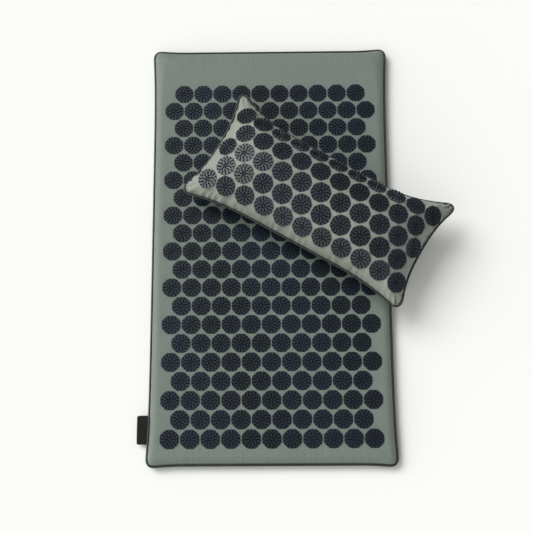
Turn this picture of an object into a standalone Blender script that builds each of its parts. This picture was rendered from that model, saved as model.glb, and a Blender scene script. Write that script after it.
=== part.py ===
"""Acupressure mat with its pillow, each piece a closed solid of its own.

Frame: origin under the middle of the mat, +X across it, +Y towards its head end, +Z up.
Lengths are in metres. The pillow lies askew on the mat and reaches past its right side.
"""
import math

import bmesh
import bpy
from mathutils import Matrix, Vector
from mathutils.geometry import delaunay_2d_cdt

# Gaps and cloth
FIT_GAP = 0.0003
COVER_THICKNESS = 0.001
CUT_OVERRUN = 0.002

# Mat cover and its foam slab
MAT_WIDTH = 0.420
MAT_LENGTH = 0.754
MAT_SIDE_DRAW_IN = 0.005
MAT_END_DRAW_IN = 0.0038
MAT_CORNER_RADIUS = 0.012
MAT_LEAST_CORNER_RADIUS = 0.002
MAT_CORNER_STEPS = 4
MAT_STRAIGHT_END_SHARE = 0.72
MAT_SIDE_SHARES = (0.42, 0.72, 0.88)
MAT_SIDE_ROUNDNESS = 6
FOAM_THICKNESS = 0.020
FOAM_SIDE_CLEARANCE = 0.0026
FOAM_EDGE_EASE = 0.002
SEAM_HEIGHT = 0.0128
TOP_EDGE_RUN = 0.016
TOP_EDGE_STEPS = 4
BOTTOM_EDGE_RADIUS = 0.0016
BOTTOM_EDGE_STEPS = 2

# Piping sewn into both seams
PIPING_DIAMETER = 0.0038

# Spiked discs, eight-sided, with a flat side along and across the rows
DISC_WIDTH = 0.0324
DISC_SIDES = 8
DISC_PITCH_ALONG_ROW = 0.0345
DISC_ROW_SPACING = 0.0328
MAT_SIDE_BAND = 0.02
MAT_HEAD_BAND = 0.063
MAT_FOOT_BAND = 0.0281
PETAL_HEIGHT = 0.0045
PETAL_TIP_SHARE = 0.93
DISC_CENTRE_SHARE = 0.8
DISC_ROOT_DEPTH = 0.0006

# Folded side label, left blank
LABEL_WIDTH = 0.049
LABEL_REACH = 0.0185
LABEL_FROM_FOOT_END = 0.0374
LABEL_THICKNESS = 0.0004
LABEL_FOLD_RADIUS = 0.0006
LABEL_FOLD_STEPS = 4

# Pillow, lying askew on the mat
PILLOW_LENGTH = 0.431
PILLOW_WIDTH = 0.211
PILLOW_CENTRE_X = 0.0838
PILLOW_CENTRE_Y = 0.0778
PILLOW_TURN_DEGREES = -30.1
PILLOW_SEAM_HEIGHT = 0.038
PILLOW_CROWN = 0.0527
PILLOW_UNDER_BULGE = 0.043
PILLOW_END_DRAW_IN = 0.0188
PILLOW_NEAR_DRAW_IN = 0.0165
PILLOW_FAR_DRAW_IN = 0.0335
PILLOW_CORNER_PULL = 0.004
PILLOW_LEVEL_SHARE = 0.43
PILLOW_ROUNDNESS_ACROSS = 2.22
PILLOW_ROUNDNESS_OF_ENDS = 2.5
PILLOW_ROUNDNESS_ALONG = 2
PILLOW_CORNER_SHARPNESS = 24
PILLOW_COVER_THICKNESS = 0.0012
PILLOW_DISC_PITCH = 0.0375
PILLOW_ROW_SPACING = 0.0337
PILLOW_END_BAND = 0.009
PILLOW_SIDE_BAND = 0.0175
PILLOW_ROW_SHIFT = -0.0052
PILLOW_COLUMN_SHIFT = 0.0055
PILLOW_PLACING_ROUNDS = 5
PILLOW_ARC_STEPS = 160
SKIN_STEP_SHARE = 0.01
JOINING_DISTANCE = 0.0000001
PILLOW_SHOULDER_SHARES = (0.82, 0.9, 0.97)
DISC_CLEAR_SHARE = 1.06
PATCH_U_SHARES = (0.3, PILLOW_LEVEL_SHARE, 0.74, 0.85, 0.93, 0.98, 1.0)
PATCH_V_SHARES = (0.3, 0.58, 0.80, 0.95, 1.0)
SHOULDER_U_SHARES = (0.15, 0.45, 0.75, 0.9, 0.96, 1.0)
SHOULDER_V_SHARES = (0.3, 0.7, 0.88, 1.0)
LINER_THICKNESS = 0.0006
LINER_SIDE_CLEARANCE = 0.0037
LINER_TOP_CLEARANCE = 0.0040
FILLING_SIDE_CLEARANCE = 0.0004

# Zip fasteners of both covers
MAT_ZIP_LENGTH = MAT_WIDTH * 0.7
PILLOW_ZIP_LENGTH = PILLOW_LENGTH * 0.42
ZIP_SLOT_WIDTH = 0.0076
ZIP_TAPE_OVERLAP = 0.0022
ZIP_TAPE_THICKNESS = 0.0006
ZIP_COIL_WIDTH = 0.0019
ZIP_COIL_HEIGHT = 0.0015
ZIP_CENTRE_GAP = 0.001
ZIP_STOP_LENGTH = 0.003
ZIP_END_MARGIN = 0.004
SLIDER_LENGTH = 0.0088
SLIDER_FRONT_WIDTH = 0.0066
SLIDER_REAR_WIDTH = 0.0062
SLIDER_PLATE = 0.001
SLIDER_BACK_PLATE = 0.0007
SLIDER_LIP = 0.0004
SLIDER_NECK_WIDTH = 0.0004
SLIDER_NECK_SHARE = 0.4
SLIDER_NOSE_SHARE = 0.55
SLIDER_TAIL_SHARE = 0.75
BAIL_INNER_RADIUS = 0.00105
BAIL_THICKNESS = 0.0007
BAIL_WIDTH = 0.0014
BAIL_STEPS = 8
PULL_LENGTH = 0.022
PULL_WIDTH = 0.0046
PULL_TIP_WIDTH = 0.0036
PULL_THICKNESS = 0.001
PULL_WINDOW_LENGTH = 0.0028
PULL_WINDOW_WIDTH = 0.0024
PULL_AXIS_CLEARANCE = 0.0002

# Places worked out from the sizes above
MAT_TOP = 2 * COVER_THICKNESS + 2 * FIT_GAP + FOAM_THICKNESS
MAT_TIP_HEIGHT = MAT_TOP + PETAL_HEIGHT
PIPING_OFFSET = PIPING_DIAMETER / 2 + FIT_GAP
PILLOW_REST_Z = MAT_TIP_HEIGHT + FIT_GAP
PILLOW_SEAM_Z = PILLOW_REST_Z + PILLOW_SEAM_HEIGHT
DISC_RADIUS = DISC_WIDTH / 2 / math.cos(math.pi / DISC_SIDES)

# Colours as linear values, each with its roughness
FINISHES = {
    "sage_cloth": ((0.185, 0.225, 0.190), 0.9),
    "dark_piping": ((0.020, 0.022, 0.022), 0.85),
    "foam": ((0.55, 0.52, 0.44), 0.95),
    "liner_cloth": ((0.60, 0.59, 0.55), 0.9),
    "filling": ((0.42, 0.36, 0.27), 0.95),
    "zip_tape": ((0.020, 0.022, 0.022), 0.85),
    "zip_nylon": ((0.025, 0.027, 0.028), 0.5),
    "zip_metal": ((0.050, 0.052, 0.055), 0.35),
    "label_ribbon": ((0.012, 0.013, 0.013), 0.8),
}


def clear_scene():
    """Remove every object that the file opened with."""
    for item in list(bpy.data.objects):
        bpy.data.objects.remove(item, do_unlink=True)


def make_collection(name):
    collection = bpy.data.collections.new(name)
    bpy.context.scene.collection.children.link(collection)
    return collection


def material(name):
    """Principled material of that name, made once."""
    found = bpy.data.materials.get(name)
    if found:
        return found
    colour, roughness = FINISHES[name]
    made = bpy.data.materials.new(name)
    made.use_nodes = True
    shader = made.node_tree.nodes["Principled BSDF"]
    shader.inputs["Base Color"].default_value = (*colour, 1)
    shader.inputs["Roughness"].default_value = roughness
    shader.inputs["Metallic"].default_value = 1 if name == "zip_metal" else 0
    made.diffuse_color = (*colour, 1)
    return made


def add_mesh_object(name, bm, finish, collection, place=None):
    """Turn a bmesh into a named object at the given place, its faces outwards."""
    bmesh.ops.recalc_face_normals(bm, faces=bm.faces)
    if bm.calc_volume(signed=True) < 0:
        bmesh.ops.reverse_faces(bm, faces=bm.faces)
    mesh = bpy.data.meshes.new(name)
    bm.to_mesh(mesh)
    bm.free()
    mesh.shade_smooth()
    mesh.set_sharp_from_angle(angle=math.radians(32))
    item = bpy.data.objects.new(name, mesh)
    item.data.materials.append(material(finish))
    collection.objects.link(item)
    if place is not None:
        item.matrix_world = place
    return item


def add_cutter(name, bm, cutters, place=None):
    """A tool body that the build leaves out."""
    tool = add_mesh_object(name, bm, "foam", cutters, place)
    tool.hide_render = True
    tool.display_type = 'WIRE'
    return tool


def apply_boolean(item, tool, operation):
    """Exact Boolean kept as a modifier on the piece."""
    modifier = item.modifiers.new(operation.lower(), 'BOOLEAN')
    modifier.operation = operation
    modifier.solver = 'EXACT'
    modifier.object = tool
    return modifier


def loft(rings):
    """Closed body through rings of equally many points, capped at both ends."""
    bm = bmesh.new()
    loops = [[bm.verts.new(point) for point in ring] for ring in rings]
    for lower, upper in zip(loops, loops[1:]):
        for index in range(len(lower)):
            after = (index + 1) % len(lower)
            bm.faces.new((lower[index], lower[after], upper[after], upper[index]))
    bm.faces.new(loops[0][::-1])
    bm.faces.new(loops[-1])
    return bm


def box(low, high):
    """Axis-aligned box between two corners."""
    bm = bmesh.new()
    size = [b - a for a, b in zip(low, high)]
    middle = [(a + b) / 2 for a, b in zip(low, high)]
    matrix = Matrix.Translation(middle) @ Matrix.Diagonal((*size, 1))
    bmesh.ops.create_cube(bm, size=1, matrix=matrix)
    return bm


def prism(outline, low, high):
    """Upright body over a flat outline of (x, y) points."""
    return loft([[(x, y, z) for x, y in outline] for z in (low, high)])


# Mat


def mat_outline(offset=0.0):
    """Edge of the cover, anticlockwise, moved outwards by the offset.

    The long sides pull in between the corners. The ends pull in at once and then run
    straight, so that a straight zip fits the head end.
    """
    half_width = MAT_WIDTH / 2 + offset
    half_length = MAT_LENGTH / 2 + offset
    radius = max(MAT_CORNER_RADIUS + offset, MAT_LEAST_CORNER_RADIUS)
    quarter = []
    for share in MAT_SIDE_SHARES:
        pulled = MAT_SIDE_DRAW_IN * (1 - share ** MAT_SIDE_ROUNDNESS)
        quarter.append((half_width - pulled, half_length * share))
    for step in range(MAT_CORNER_STEPS + 1):
        angle = math.pi / 2 * step / MAT_CORNER_STEPS
        across = half_width - radius + radius * math.cos(angle)
        along = half_length - radius + radius * math.sin(angle)
        quarter.append((across, along))
    end_x = MAT_WIDTH / 2 * MAT_STRAIGHT_END_SHARE
    quarter.append((end_x, half_length - MAT_END_DRAW_IN))
    waist = half_width - MAT_SIDE_DRAW_IN
    points = [(waist, 0.0)] + quarter
    points += [(-x, y) for x, y in reversed(quarter)]
    points += [(-waist, 0.0)] + [(-x, -y) for x, y in quarter]
    points += [(x, -y) for x, y in reversed(quarter)]
    return points


def ring_at(offset, height):
    return [(x, y, height) for x, y in mat_outline(offset)]


def top_edge_rings(inset, back=0.0, down=0.0):
    """Rings from the seam up over the rounded upper edge, one skin thickness in if asked."""
    base = SEAM_HEIGHT + FIT_GAP / 2
    rise = MAT_TOP - inset - down - base
    rings = []
    for step in range(TOP_EDGE_STEPS + 1):
        angle = math.pi / 2 * step / TOP_EDGE_STEPS
        drawn = (TOP_EDGE_RUN - inset) * (1 - math.cos(angle))
        rings.append(ring_at(-inset - back - drawn, base + rise * math.sin(angle)))
    return rings


def bottom_edge_rings(inset):
    """Rings from the seam down the side wall and round onto the underside."""
    radius = BOTTOM_EDGE_RADIUS - inset
    rings = [ring_at(-inset, SEAM_HEIGHT - FIT_GAP / 2)]
    for step in range(BOTTOM_EDGE_STEPS + 1):
        angle = math.pi / 2 * step / BOTTOM_EDGE_STEPS
        drawn = radius * (1 - math.cos(angle))
        rings.append(ring_at(-inset - drawn, BOTTOM_EDGE_RADIUS - radius * math.sin(angle)))
    return rings


def disc_ring(radius, height, turn):
    """Points of one ring of a disc, in the disc's own frame."""
    points = []
    for index in range(DISC_SIDES):
        angle = 2 * math.pi * (index + turn) / DISC_SIDES
        points.append(Vector((radius * math.cos(angle), radius * math.sin(angle), height)))
    return points


def rosette_crown(bm, rim, place):
    """Petals of one disc on its corners: a ridge to the tip over each side, a valley between."""
    tips = [bm.verts.new(place @ point)
            for point in disc_ring(DISC_WIDTH / 2 * PETAL_TIP_SHARE, PETAL_HEIGHT, 1)]
    centre = bm.verts.new(place @ Vector((0, 0, PETAL_HEIGHT * DISC_CENTRE_SHARE)))
    for index in range(DISC_SIDES):
        after = (index + 1) % DISC_SIDES
        bm.faces.new((rim[index], rim[after], tips[index]))
        bm.faces.new((tips[index], rim[after], centre))
        bm.faces.new((tips[index], centre, rim[index]))


def rosette_body(bm, place):
    """One disc as a closed body whose root sinks into the cloth."""
    rim = [bm.verts.new(place @ point) for point in disc_ring(DISC_RADIUS, 0.0, 0.5)]
    root = [bm.verts.new(place @ point)
            for point in disc_ring(DISC_RADIUS, -DISC_ROOT_DEPTH, 0.5)]
    for index in range(DISC_SIDES):
        after = (index + 1) % DISC_SIDES
        bm.faces.new((root[index], root[after], rim[after], rim[index]))
    bm.faces.new(root[::-1])
    rosette_crown(bm, rim, place)


def discs_that_fit(length, bands, spacing):
    """How many discs a spacing apart fit in a length, with bare bands left at its ends."""
    return int((length - bands - DISC_WIDTH) / spacing) + 1


def mat_disc_places():
    """Centres of the mat's discs, in staggered rows from the foot end to the head end."""
    places = []
    rows = discs_that_fit(MAT_LENGTH, MAT_HEAD_BAND + MAT_FOOT_BAND, DISC_ROW_SPACING)
    long_row = discs_that_fit(MAT_WIDTH, 2 * MAT_SIDE_BAND, DISC_PITCH_ALONG_ROW)
    first_y = -MAT_LENGTH / 2 + MAT_FOOT_BAND + DISC_WIDTH / 2
    for row in range(rows):
        count = long_row - row % 2
        for column in range(count):
            x = (column - (count - 1) / 2) * DISC_PITCH_ALONG_ROW
            y = first_y + row * DISC_ROW_SPACING
            places.append(Matrix.Translation((x, y, MAT_TOP)))
    return places


def build_mat_cover(parts, cutters):
    """Upper panel with its discs, lower panel with the zip's slot."""
    skin = COVER_THICKNESS
    upper = loft(top_edge_rings(skin)[::-1] + top_edge_rings(0))
    top_panel = add_mesh_object("mat_top_panel", upper, "sage_cloth", parts)
    discs = bmesh.new()
    for place in mat_disc_places():
        rosette_body(discs, place)
    apply_boolean(top_panel, add_cutter("mat_disc_bodies", discs, cutters), 'UNION')
    lower = loft(bottom_edge_rings(skin)[::-1] + bottom_edge_rings(0))
    bottom_panel = add_mesh_object("mat_bottom_panel", lower, "sage_cloth", parts)
    slot = zip_slot_cutter(MAT_ZIP_LENGTH, COVER_THICKNESS)
    tool = add_cutter("mat_zip_slot", slot, cutters, mat_zip_place())
    apply_boolean(bottom_panel, tool, 'DIFFERENCE')


def build_mat_foam(parts):
    """Foam slab that fills the cover, set back from its sides to leave room for the zip."""
    offset = -COVER_THICKNESS - FOAM_SIDE_CLEARANCE
    bottom = COVER_THICKNESS + FIT_GAP
    rings = [ring_at(offset - FOAM_EDGE_EASE, bottom), ring_at(offset, bottom + FOAM_EDGE_EASE)]
    rings += top_edge_rings(COVER_THICKNESS, FOAM_SIDE_CLEARANCE, FIT_GAP)
    add_mesh_object("mat_foam_core", loft(rings), "foam", parts)


def closed_tube(name, points, diameter, finish, parts):
    """Round cord along a closed line of points."""
    curve = bpy.data.curves.new(name, 'CURVE')
    curve.dimensions = '3D'
    curve.bevel_depth = diameter / 2
    curve.bevel_resolution = 2
    spline = curve.splines.new('POLY')
    spline.points.add(len(points) - 1)
    for target, point in zip(spline.points, points):
        target.co = (*point, 1)
    spline.use_cyclic_u = True
    curve.materials.append(material(finish))
    item = bpy.data.objects.new(name, curve)
    parts.objects.link(item)
    return item


def build_mat_label(parts):
    """Ribbon folded in half, its ends caught in the seam under the piping."""
    top = SEAM_HEIGHT - PIPING_DIAMETER / 2 - FIT_GAP - LABEL_THICKNESS / 2
    root_x = -MAT_WIDTH / 2 - FIT_GAP
    fold_x = root_x - LABEL_REACH + LABEL_FOLD_RADIUS
    centre_z = top - LABEL_FOLD_RADIUS
    line = [(root_x, top)]
    for step in range(LABEL_FOLD_STEPS + 1):
        angle = math.pi / 2 + math.pi * step / LABEL_FOLD_STEPS
        line.append((fold_x + LABEL_FOLD_RADIUS * math.cos(angle),
                     centre_z + LABEL_FOLD_RADIUS * math.sin(angle)))
    line.append((root_x, centre_z - LABEL_FOLD_RADIUS))
    low_y = -MAT_LENGTH / 2 + LABEL_FROM_FOOT_END
    bm = bmesh.new()
    edges = [[bm.verts.new((x, y, z)) for x, z in line] for y in (low_y, low_y + LABEL_WIDTH)]
    for index in range(len(line) - 1):
        bm.faces.new((edges[0][index], edges[0][index + 1],
                      edges[1][index + 1], edges[1][index]))
    item = add_mesh_object("mat_side_label", bm, "label_ribbon", parts)
    cloth = item.modifiers.new("ribbon", 'SOLIDIFY')
    cloth.thickness = LABEL_THICKNESS
    cloth.offset = 0
    cloth.use_even_offset = True


# Pillow


def pillow_place():
    """Frame of the pillow, its origin at the height of its seam."""
    turn = Matrix.Rotation(math.radians(PILLOW_TURN_DEGREES), 4, 'Z')
    return Matrix.Translation((PILLOW_CENTRE_X, PILLOW_CENTRE_Y, PILLOW_SEAM_Z)) @ turn


def both_ways(shares):
    """The shares mirrored about nothing, in rising order."""
    return [-share for share in reversed(shares)] + list(shares)


def past(share, start):
    """How far a share lies past a start, from nothing to one."""
    return max(0.0, (abs(share) - start) / (1 - start))


def pillow_point(u, v, side=1, inset=0.0, rise_inset=None):
    """Point of the pillow's skin; u runs along it and v across it, each from -1 to 1.

    Side 1 is the upper skin and side -1 the lower one, which is flat where it rests.
    """
    if rise_inset is None:
        rise_inset = inset
    half_length = PILLOW_LENGTH / 2 - inset
    half_width = PILLOW_WIDTH / 2 - inset
    side_draw_in = PILLOW_FAR_DRAW_IN if v > 0 else PILLOW_NEAR_DRAW_IN
    falling = past(u, PILLOW_LEVEL_SHARE) ** PILLOW_ROUNDNESS_ALONG
    x = u * (half_length - PILLOW_END_DRAW_IN * (1 - abs(v) ** PILLOW_ROUNDNESS_OF_ENDS))
    y = v * (half_width - side_draw_in * (1 - falling))
    pull = PILLOW_CORNER_PULL * abs(u * v) ** PILLOW_CORNER_SHARPNESS
    x -= math.copysign(pull, u)
    y -= math.copysign(pull, v)
    swell = (1 - falling) * (1 - abs(v) ** PILLOW_ROUNDNESS_ACROSS)
    share = math.sqrt(max(0.0, swell))
    if side > 0:
        return Vector((x, y, (PILLOW_CROWN - rise_inset) * share))
    depth = (PILLOW_UNDER_BULGE - rise_inset) * share
    return Vector((x, y, -min(PILLOW_SEAM_HEIGHT - rise_inset, depth)))


def arc_table(point_at):
    """Lengths along a line of the skin for shares from 0 to 1."""
    table = [(0.0, 0.0)]
    previous = point_at(0.0)
    for step in range(1, PILLOW_ARC_STEPS + 1):
        share = step / PILLOW_ARC_STEPS
        point = point_at(share)
        table.append((table[-1][0] + (point - previous).length, share))
        previous = point
    return table


def share_at(table, distance):
    """Share at which a line reaches a distance, signed as the distance is."""
    wanted = abs(distance)
    for (length_a, share_a), (length_b, share_b) in zip(table, table[1:]):
        if wanted <= length_b:
            part = (wanted - length_a) / (length_b - length_a)
            return math.copysign(share_a + part * (share_b - share_a), distance)
    return math.copysign(1.0, distance)


def length_at(table, share):
    """Distance at which a line reaches a share, signed as the share is."""
    spot = abs(share) * (len(table) - 1)
    index = min(int(spot), len(table) - 2)
    part = spot - index
    low, high = table[index][0], table[index + 1][0]
    return math.copysign(low + part * (high - low), share)


def skin_frame(u, v):
    """Matrix on the upper skin: X along the pillow, Z out of the cloth."""
    step = SKIN_STEP_SHARE
    along = pillow_point(min(u + step, 1), v) - pillow_point(max(u - step, -1), v)
    across = pillow_point(u, min(v + step, 1)) - pillow_point(u, max(v - step, -1))
    normal = along.cross(across).normalized()
    along.normalize()
    side = normal.cross(along)
    spot = pillow_point(u, v) - normal * disc_sag()
    rotation = Matrix((along, side, normal)).transposed().to_4x4()
    return Matrix.Translation(spot) @ rotation


def disc_sag():
    """How far a stiff disc presses the crowned cloth in at its middle."""
    crown_radius = (PILLOW_WIDTH / 2) ** 2 / PILLOW_CROWN / 2 + PILLOW_CROWN / 2
    return DISC_RADIUS ** 2 / crown_radius / 4


def along_table(v, way):
    """Lengths along the cloth from the middle towards one end, at one share across."""
    return arc_table(lambda share: pillow_point(math.copysign(share, way), v))


def across_table(u, way):
    """Lengths across the cloth from the middle towards one side, at one share along."""
    return arc_table(lambda share: pillow_point(u, math.copysign(share, way)))


def flat_place(u, v):
    """Lengths along and across the cloth from its middle to a point of the skin."""
    return length_at(along_table(v, u), u), length_at(across_table(u, v), v)


def shares_of(a, b):
    """Shares of the point that lies the lengths a and b along and across the cloth."""
    u, v = 0.0, 0.0
    for _ in range(PILLOW_PLACING_ROUNDS):
        v = share_at(across_table(u, b), b)
        u = share_at(along_table(v, a), a)
    return u, v


def pillow_disc_places():
    """For each disc: its flat place in lengths along the cloth, and its frame on the skin."""
    places = []
    rows = discs_that_fit(PILLOW_WIDTH, 2 * PILLOW_SIDE_BAND, PILLOW_ROW_SPACING)
    long_row = discs_that_fit(PILLOW_LENGTH, 2 * PILLOW_END_BAND, PILLOW_DISC_PITCH)
    for row in range(rows):
        count = long_row - row % 2
        b = (row - (rows - 1) / 2) * PILLOW_ROW_SPACING + PILLOW_ROW_SHIFT
        for column in range(count):
            a = (column - (count - 1) / 2) * PILLOW_DISC_PITCH + PILLOW_COLUMN_SHIFT
            places.append(((a, b), skin_frame(*shares_of(a, b))))
    return places


def pillow_border(u_shares=PATCH_U_SHARES, v_shares=PATCH_V_SHARES):
    """Shares (u, v) round the seam, anticlockwise."""
    border = [(u, -1.0) for u in both_ways(u_shares)[:-1]]
    border += [(1.0, v) for v in both_ways(v_shares)[:-1]]
    border += [(-u, 1.0) for u in both_ways(u_shares)[:-1]]
    border += [(-1.0, -v) for v in both_ways(v_shares)[:-1]]
    return border


def moved_out(points, distance):
    """Level outline moved outwards so that each side keeps the distance."""
    moved = []
    for index, point in enumerate(points):
        before = (point - points[index - 1]).xy.normalized()
        after = (points[(index + 1) % len(points)] - point).xy.normalized()
        mitre = Vector((before.y + after.y, -before.x - after.x)).normalized()
        length = distance / mitre.dot(Vector((before.y, -before.x)))
        moved.append(point + Vector((*(mitre * length), 0)))
    return moved


def pillow_top_sheet():
    """Flat plan of the upper panel: points, disc rims and border, with each point's lift.

    Each entry is (flat place, place on the skin, place one skin thickness in). The
    cloth is drawn flat under every disc, because the discs are stiff.
    """
    cloth = PILLOW_COVER_THICKNESS
    lift = Vector((0, 0, FIT_GAP / 2))
    entries = []
    rims = []
    discs = pillow_disc_places()
    for (a, b), frame in discs:
        rims.append((frame, list(range(len(entries), len(entries) + DISC_SIDES))))
        inward = frame.to_3x3() @ Vector((0, 0, cloth))
        for flat in disc_ring(DISC_RADIUS, 0.0, 0.5):
            spot = frame @ flat
            entries.append(((a + flat.x, b + flat.y), spot, spot - inward))
    border_start = len(entries)
    for u, v in pillow_border():
        rim = pillow_point(u, v) + lift
        entries.append((flat_place(u, v), rim, pillow_point(u, v, 1, cloth) + lift))
    for ring in PILLOW_SHOULDER_SHARES:
        for u, v in pillow_border(SHOULDER_U_SHARES, SHOULDER_V_SHARES):
            u, v = u * ring, v * ring
            flat = flat_place(u, v)
            near = min(math.hypot(flat[0] - a, flat[1] - b) for (a, b), _ in discs)
            if near > DISC_RADIUS * DISC_CLEAR_SHARE:
                entries.append((flat, pillow_point(u, v), pillow_point(u, v, 1, cloth)))
    border = list(range(border_start, border_start + len(pillow_border())))
    return entries, rims, border


def build_pillow_top(parts):
    """Upper panel of the pillow with its discs, laid out flat and lifted to its crown."""
    entries, rims, border = pillow_top_sheet()
    loops = [rim for _, rim in rims]
    result = delaunay_2d_cdt([Vector(flat) for flat, _, _ in entries], [],
                             [border] + loops, 1, JOINING_DISTANCE)
    _, _, faces, origin_of, _, face_origins = result
    vertex_of = [origins[0] for origins in origin_of]
    bm = bmesh.new()
    outer = [bm.verts.new(spot) for _, spot, _ in entries]
    inner = [bm.verts.new(spot) for _, _, spot in entries]
    for face, origins in zip(faces, face_origins):
        corners = [vertex_of[index] for index in face]
        if 0 not in origins:
            continue
        if len(origins) == 1:
            bm.faces.new([outer[index] for index in corners])
        bm.faces.new([inner[index] for index in reversed(corners)])
    for frame, rim in rims:
        rosette_crown(bm, [outer[index] for index in rim], frame)
    for index, start in enumerate(border):
        after = border[(index + 1) % len(border)]
        bm.faces.new((outer[after], outer[start], inner[start], inner[after]))
    add_mesh_object("pillow_top_panel", bm, "sage_cloth", parts, pillow_place())


def skin_patch(bm, side, inset, rise_inset, lift):
    """Grid of vertices over one skin of the pillow."""
    up = Vector((0, 0, lift))
    grid = []
    for u in both_ways(PATCH_U_SHARES):
        grid.append([bm.verts.new(pillow_point(u, v, side, inset, rise_inset) + up)
                     for v in both_ways(PATCH_V_SHARES)])
    return grid


def patch_faces(bm, grid, flipped):
    """Triangles over a grid, cut from the middle outwards so that the skin stays rounded."""
    for i, (row_a, row_b) in enumerate(zip(grid, grid[1:])):
        for j in range(len(row_a) - 1):
            corners = [row_a[j], row_b[j], row_b[j + 1], row_a[j + 1]]
            outward = (2 * i + 2 > len(grid)) == (2 * j + 2 > len(row_a))
            if not outward:
                corners = corners[1:] + corners[:1]
            for trio in (corners[:3], [corners[0]] + corners[2:]):
                bm.faces.new(trio[::-1] if flipped else trio)


def rim_of(grid):
    """Border vertices of a grid, in order."""
    rim = [row[0] for row in grid]
    rim += grid[-1][1:]
    rim += [row[-1] for row in reversed(grid[:-1])]
    rim += list(reversed(grid[0][1:-1]))
    return rim


def pillow_shell(name, side, inset, thickness, finish, parts):
    """Panel of cloth over one side of the pillow, with a level rim at the seam."""
    bm = bmesh.new()
    lift = side * FIT_GAP / 2
    shells = []
    for depth in (0.0, thickness):
        shells.append(skin_patch(bm, side, inset[0] + depth, inset[1] + depth, lift))
    patch_faces(bm, shells[0], side < 0)
    patch_faces(bm, shells[1], side > 0)
    rims = [rim_of(grid) for grid in shells]
    for index in range(len(rims[0])):
        after = (index + 1) % len(rims[0])
        bm.faces.new((rims[0][index], rims[0][after], rims[1][after], rims[1][index]))
    return add_mesh_object(name, bm, finish, parts, pillow_place())


def build_pillow_bottom(parts, cutters):
    """Lower panel, flat where the pillow rests, with the zip's slot along its far side."""
    panel = pillow_shell("pillow_bottom_panel", -1, (0.0, 0.0), PILLOW_COVER_THICKNESS,
                         "sage_cloth", parts)
    slot = zip_slot_cutter(PILLOW_ZIP_LENGTH, PILLOW_COVER_THICKNESS)
    tool = add_cutter("pillow_zip_slot", slot, cutters, pillow_zip_place())
    apply_boolean(panel, tool, 'DIFFERENCE')


def build_pillow_inside(parts):
    """Sewn inner bag of two panels round the loose filling."""
    cloth = PILLOW_COVER_THICKNESS
    side_inset = cloth + LINER_SIDE_CLEARANCE
    rises = {1: cloth + LINER_TOP_CLEARANCE, -1: cloth + FIT_GAP}
    for side, word in ((1, "top"), (-1, "bottom")):
        pillow_shell("pillow_liner_" + word, side, (side_inset, rises[side]),
                     LINER_THICKNESS, "liner_cloth", parts)
    side_inset += LINER_THICKNESS + FILLING_SIDE_CLEARANCE
    bm = bmesh.new()
    for side, rise in rises.items():
        grid = skin_patch(bm, side, side_inset, rise + LINER_THICKNESS + FIT_GAP, 0.0)
        patch_faces(bm, grid, side < 0)
    bmesh.ops.remove_doubles(bm, verts=bm.verts, dist=FIT_GAP / 10)
    add_mesh_object("pillow_filling", bm, "filling", parts, pillow_place())


def build_pillow_piping(parts):
    """Cord round the pillow's seam, out to the tips of its corners."""
    seam = [pillow_point(u, v) for u, v in pillow_border()]
    place = pillow_place()
    points = [place @ point for point in moved_out(seam, PIPING_OFFSET)]
    closed_tube("pillow_piping", points, PIPING_DIAMETER, "dark_piping", parts)


# Zip fasteners, each in its own frame: X along the zip, Z out of the cover


def mat_zip_place():
    """The mat's zip lies in the wall of the head end, under the piping."""
    wall_y = MAT_LENGTH / 2 - MAT_END_DRAW_IN
    middle = (BOTTOM_EDGE_RADIUS + SEAM_HEIGHT) / 2
    axes = Matrix(((-1, 0, 0), (0, 0, 1), (0, 1, 0)))
    return Matrix.Translation((0, wall_y, middle)) @ axes.transposed().to_4x4()


def pillow_zip_place():
    """The pillow's zip lies on the lower panel's flank, along its far side."""
    low = pillow_point(0, PATCH_V_SHARES[2], -1)
    high = pillow_point(0, PATCH_V_SHARES[3], -1)
    across = (high - low).normalized()
    along = Vector((-1, 0, 0))
    outward = along.cross(across)
    axes = Matrix((along, across, outward)).transposed().to_4x4()
    return pillow_place() @ Matrix.Translation((low + high) / 2) @ axes


def zip_slot_cutter(length, cover):
    half = ZIP_SLOT_WIDTH / 2
    return box((-length / 2, -half, -cover - CUT_OVERRUN / 4), (length / 2, half, CUT_OVERRUN))


def slider_levels(cover):
    """Heights of the zip's layers above the cover's face, from the tape outwards."""
    tape_top = -cover - FIT_GAP
    coil_bottom = tape_top + FIT_GAP
    coil_top = coil_bottom + ZIP_COIL_HEIGHT
    return tape_top, coil_bottom, coil_top


def slider_outline():
    """Plan of the slider: full at the front, where the chain parts, narrower behind."""
    front = SLIDER_FRONT_WIDTH / 2
    rear = SLIDER_REAR_WIDTH / 2
    half = SLIDER_LENGTH / 2
    ease = SLIDER_LENGTH / 6
    right = [(half, front * SLIDER_NOSE_SHARE), (half - ease, front), (0.0, front),
             (-half + ease, rear), (-half, rear * SLIDER_TAIL_SHARE)]
    return [(x, -y) for x, y in reversed(right)] + right


def slider_section(cover):
    """Section of the slider across its travel: plate, lips, neck and back plate."""
    tape_top, _, coil_top = slider_levels(cover)
    plate_low = coil_top + FIT_GAP
    plate_high = plate_low + SLIDER_PLATE
    lip_low = tape_top + FIT_GAP
    back_high = tape_top - ZIP_TAPE_THICKNESS - FIT_GAP
    back_low = back_high - SLIDER_BACK_PLATE
    half = SLIDER_FRONT_WIDTH / 2
    lip = half - SLIDER_LIP
    neck = SLIDER_NECK_WIDTH / 2
    right = [(half, plate_high), (half, lip_low), (lip, lip_low), (lip, plate_low),
             (neck, plate_low), (neck, back_high), (lip, back_high), (lip, back_low)]
    return [(-y, z) for y, z in reversed(right)] + right


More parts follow.
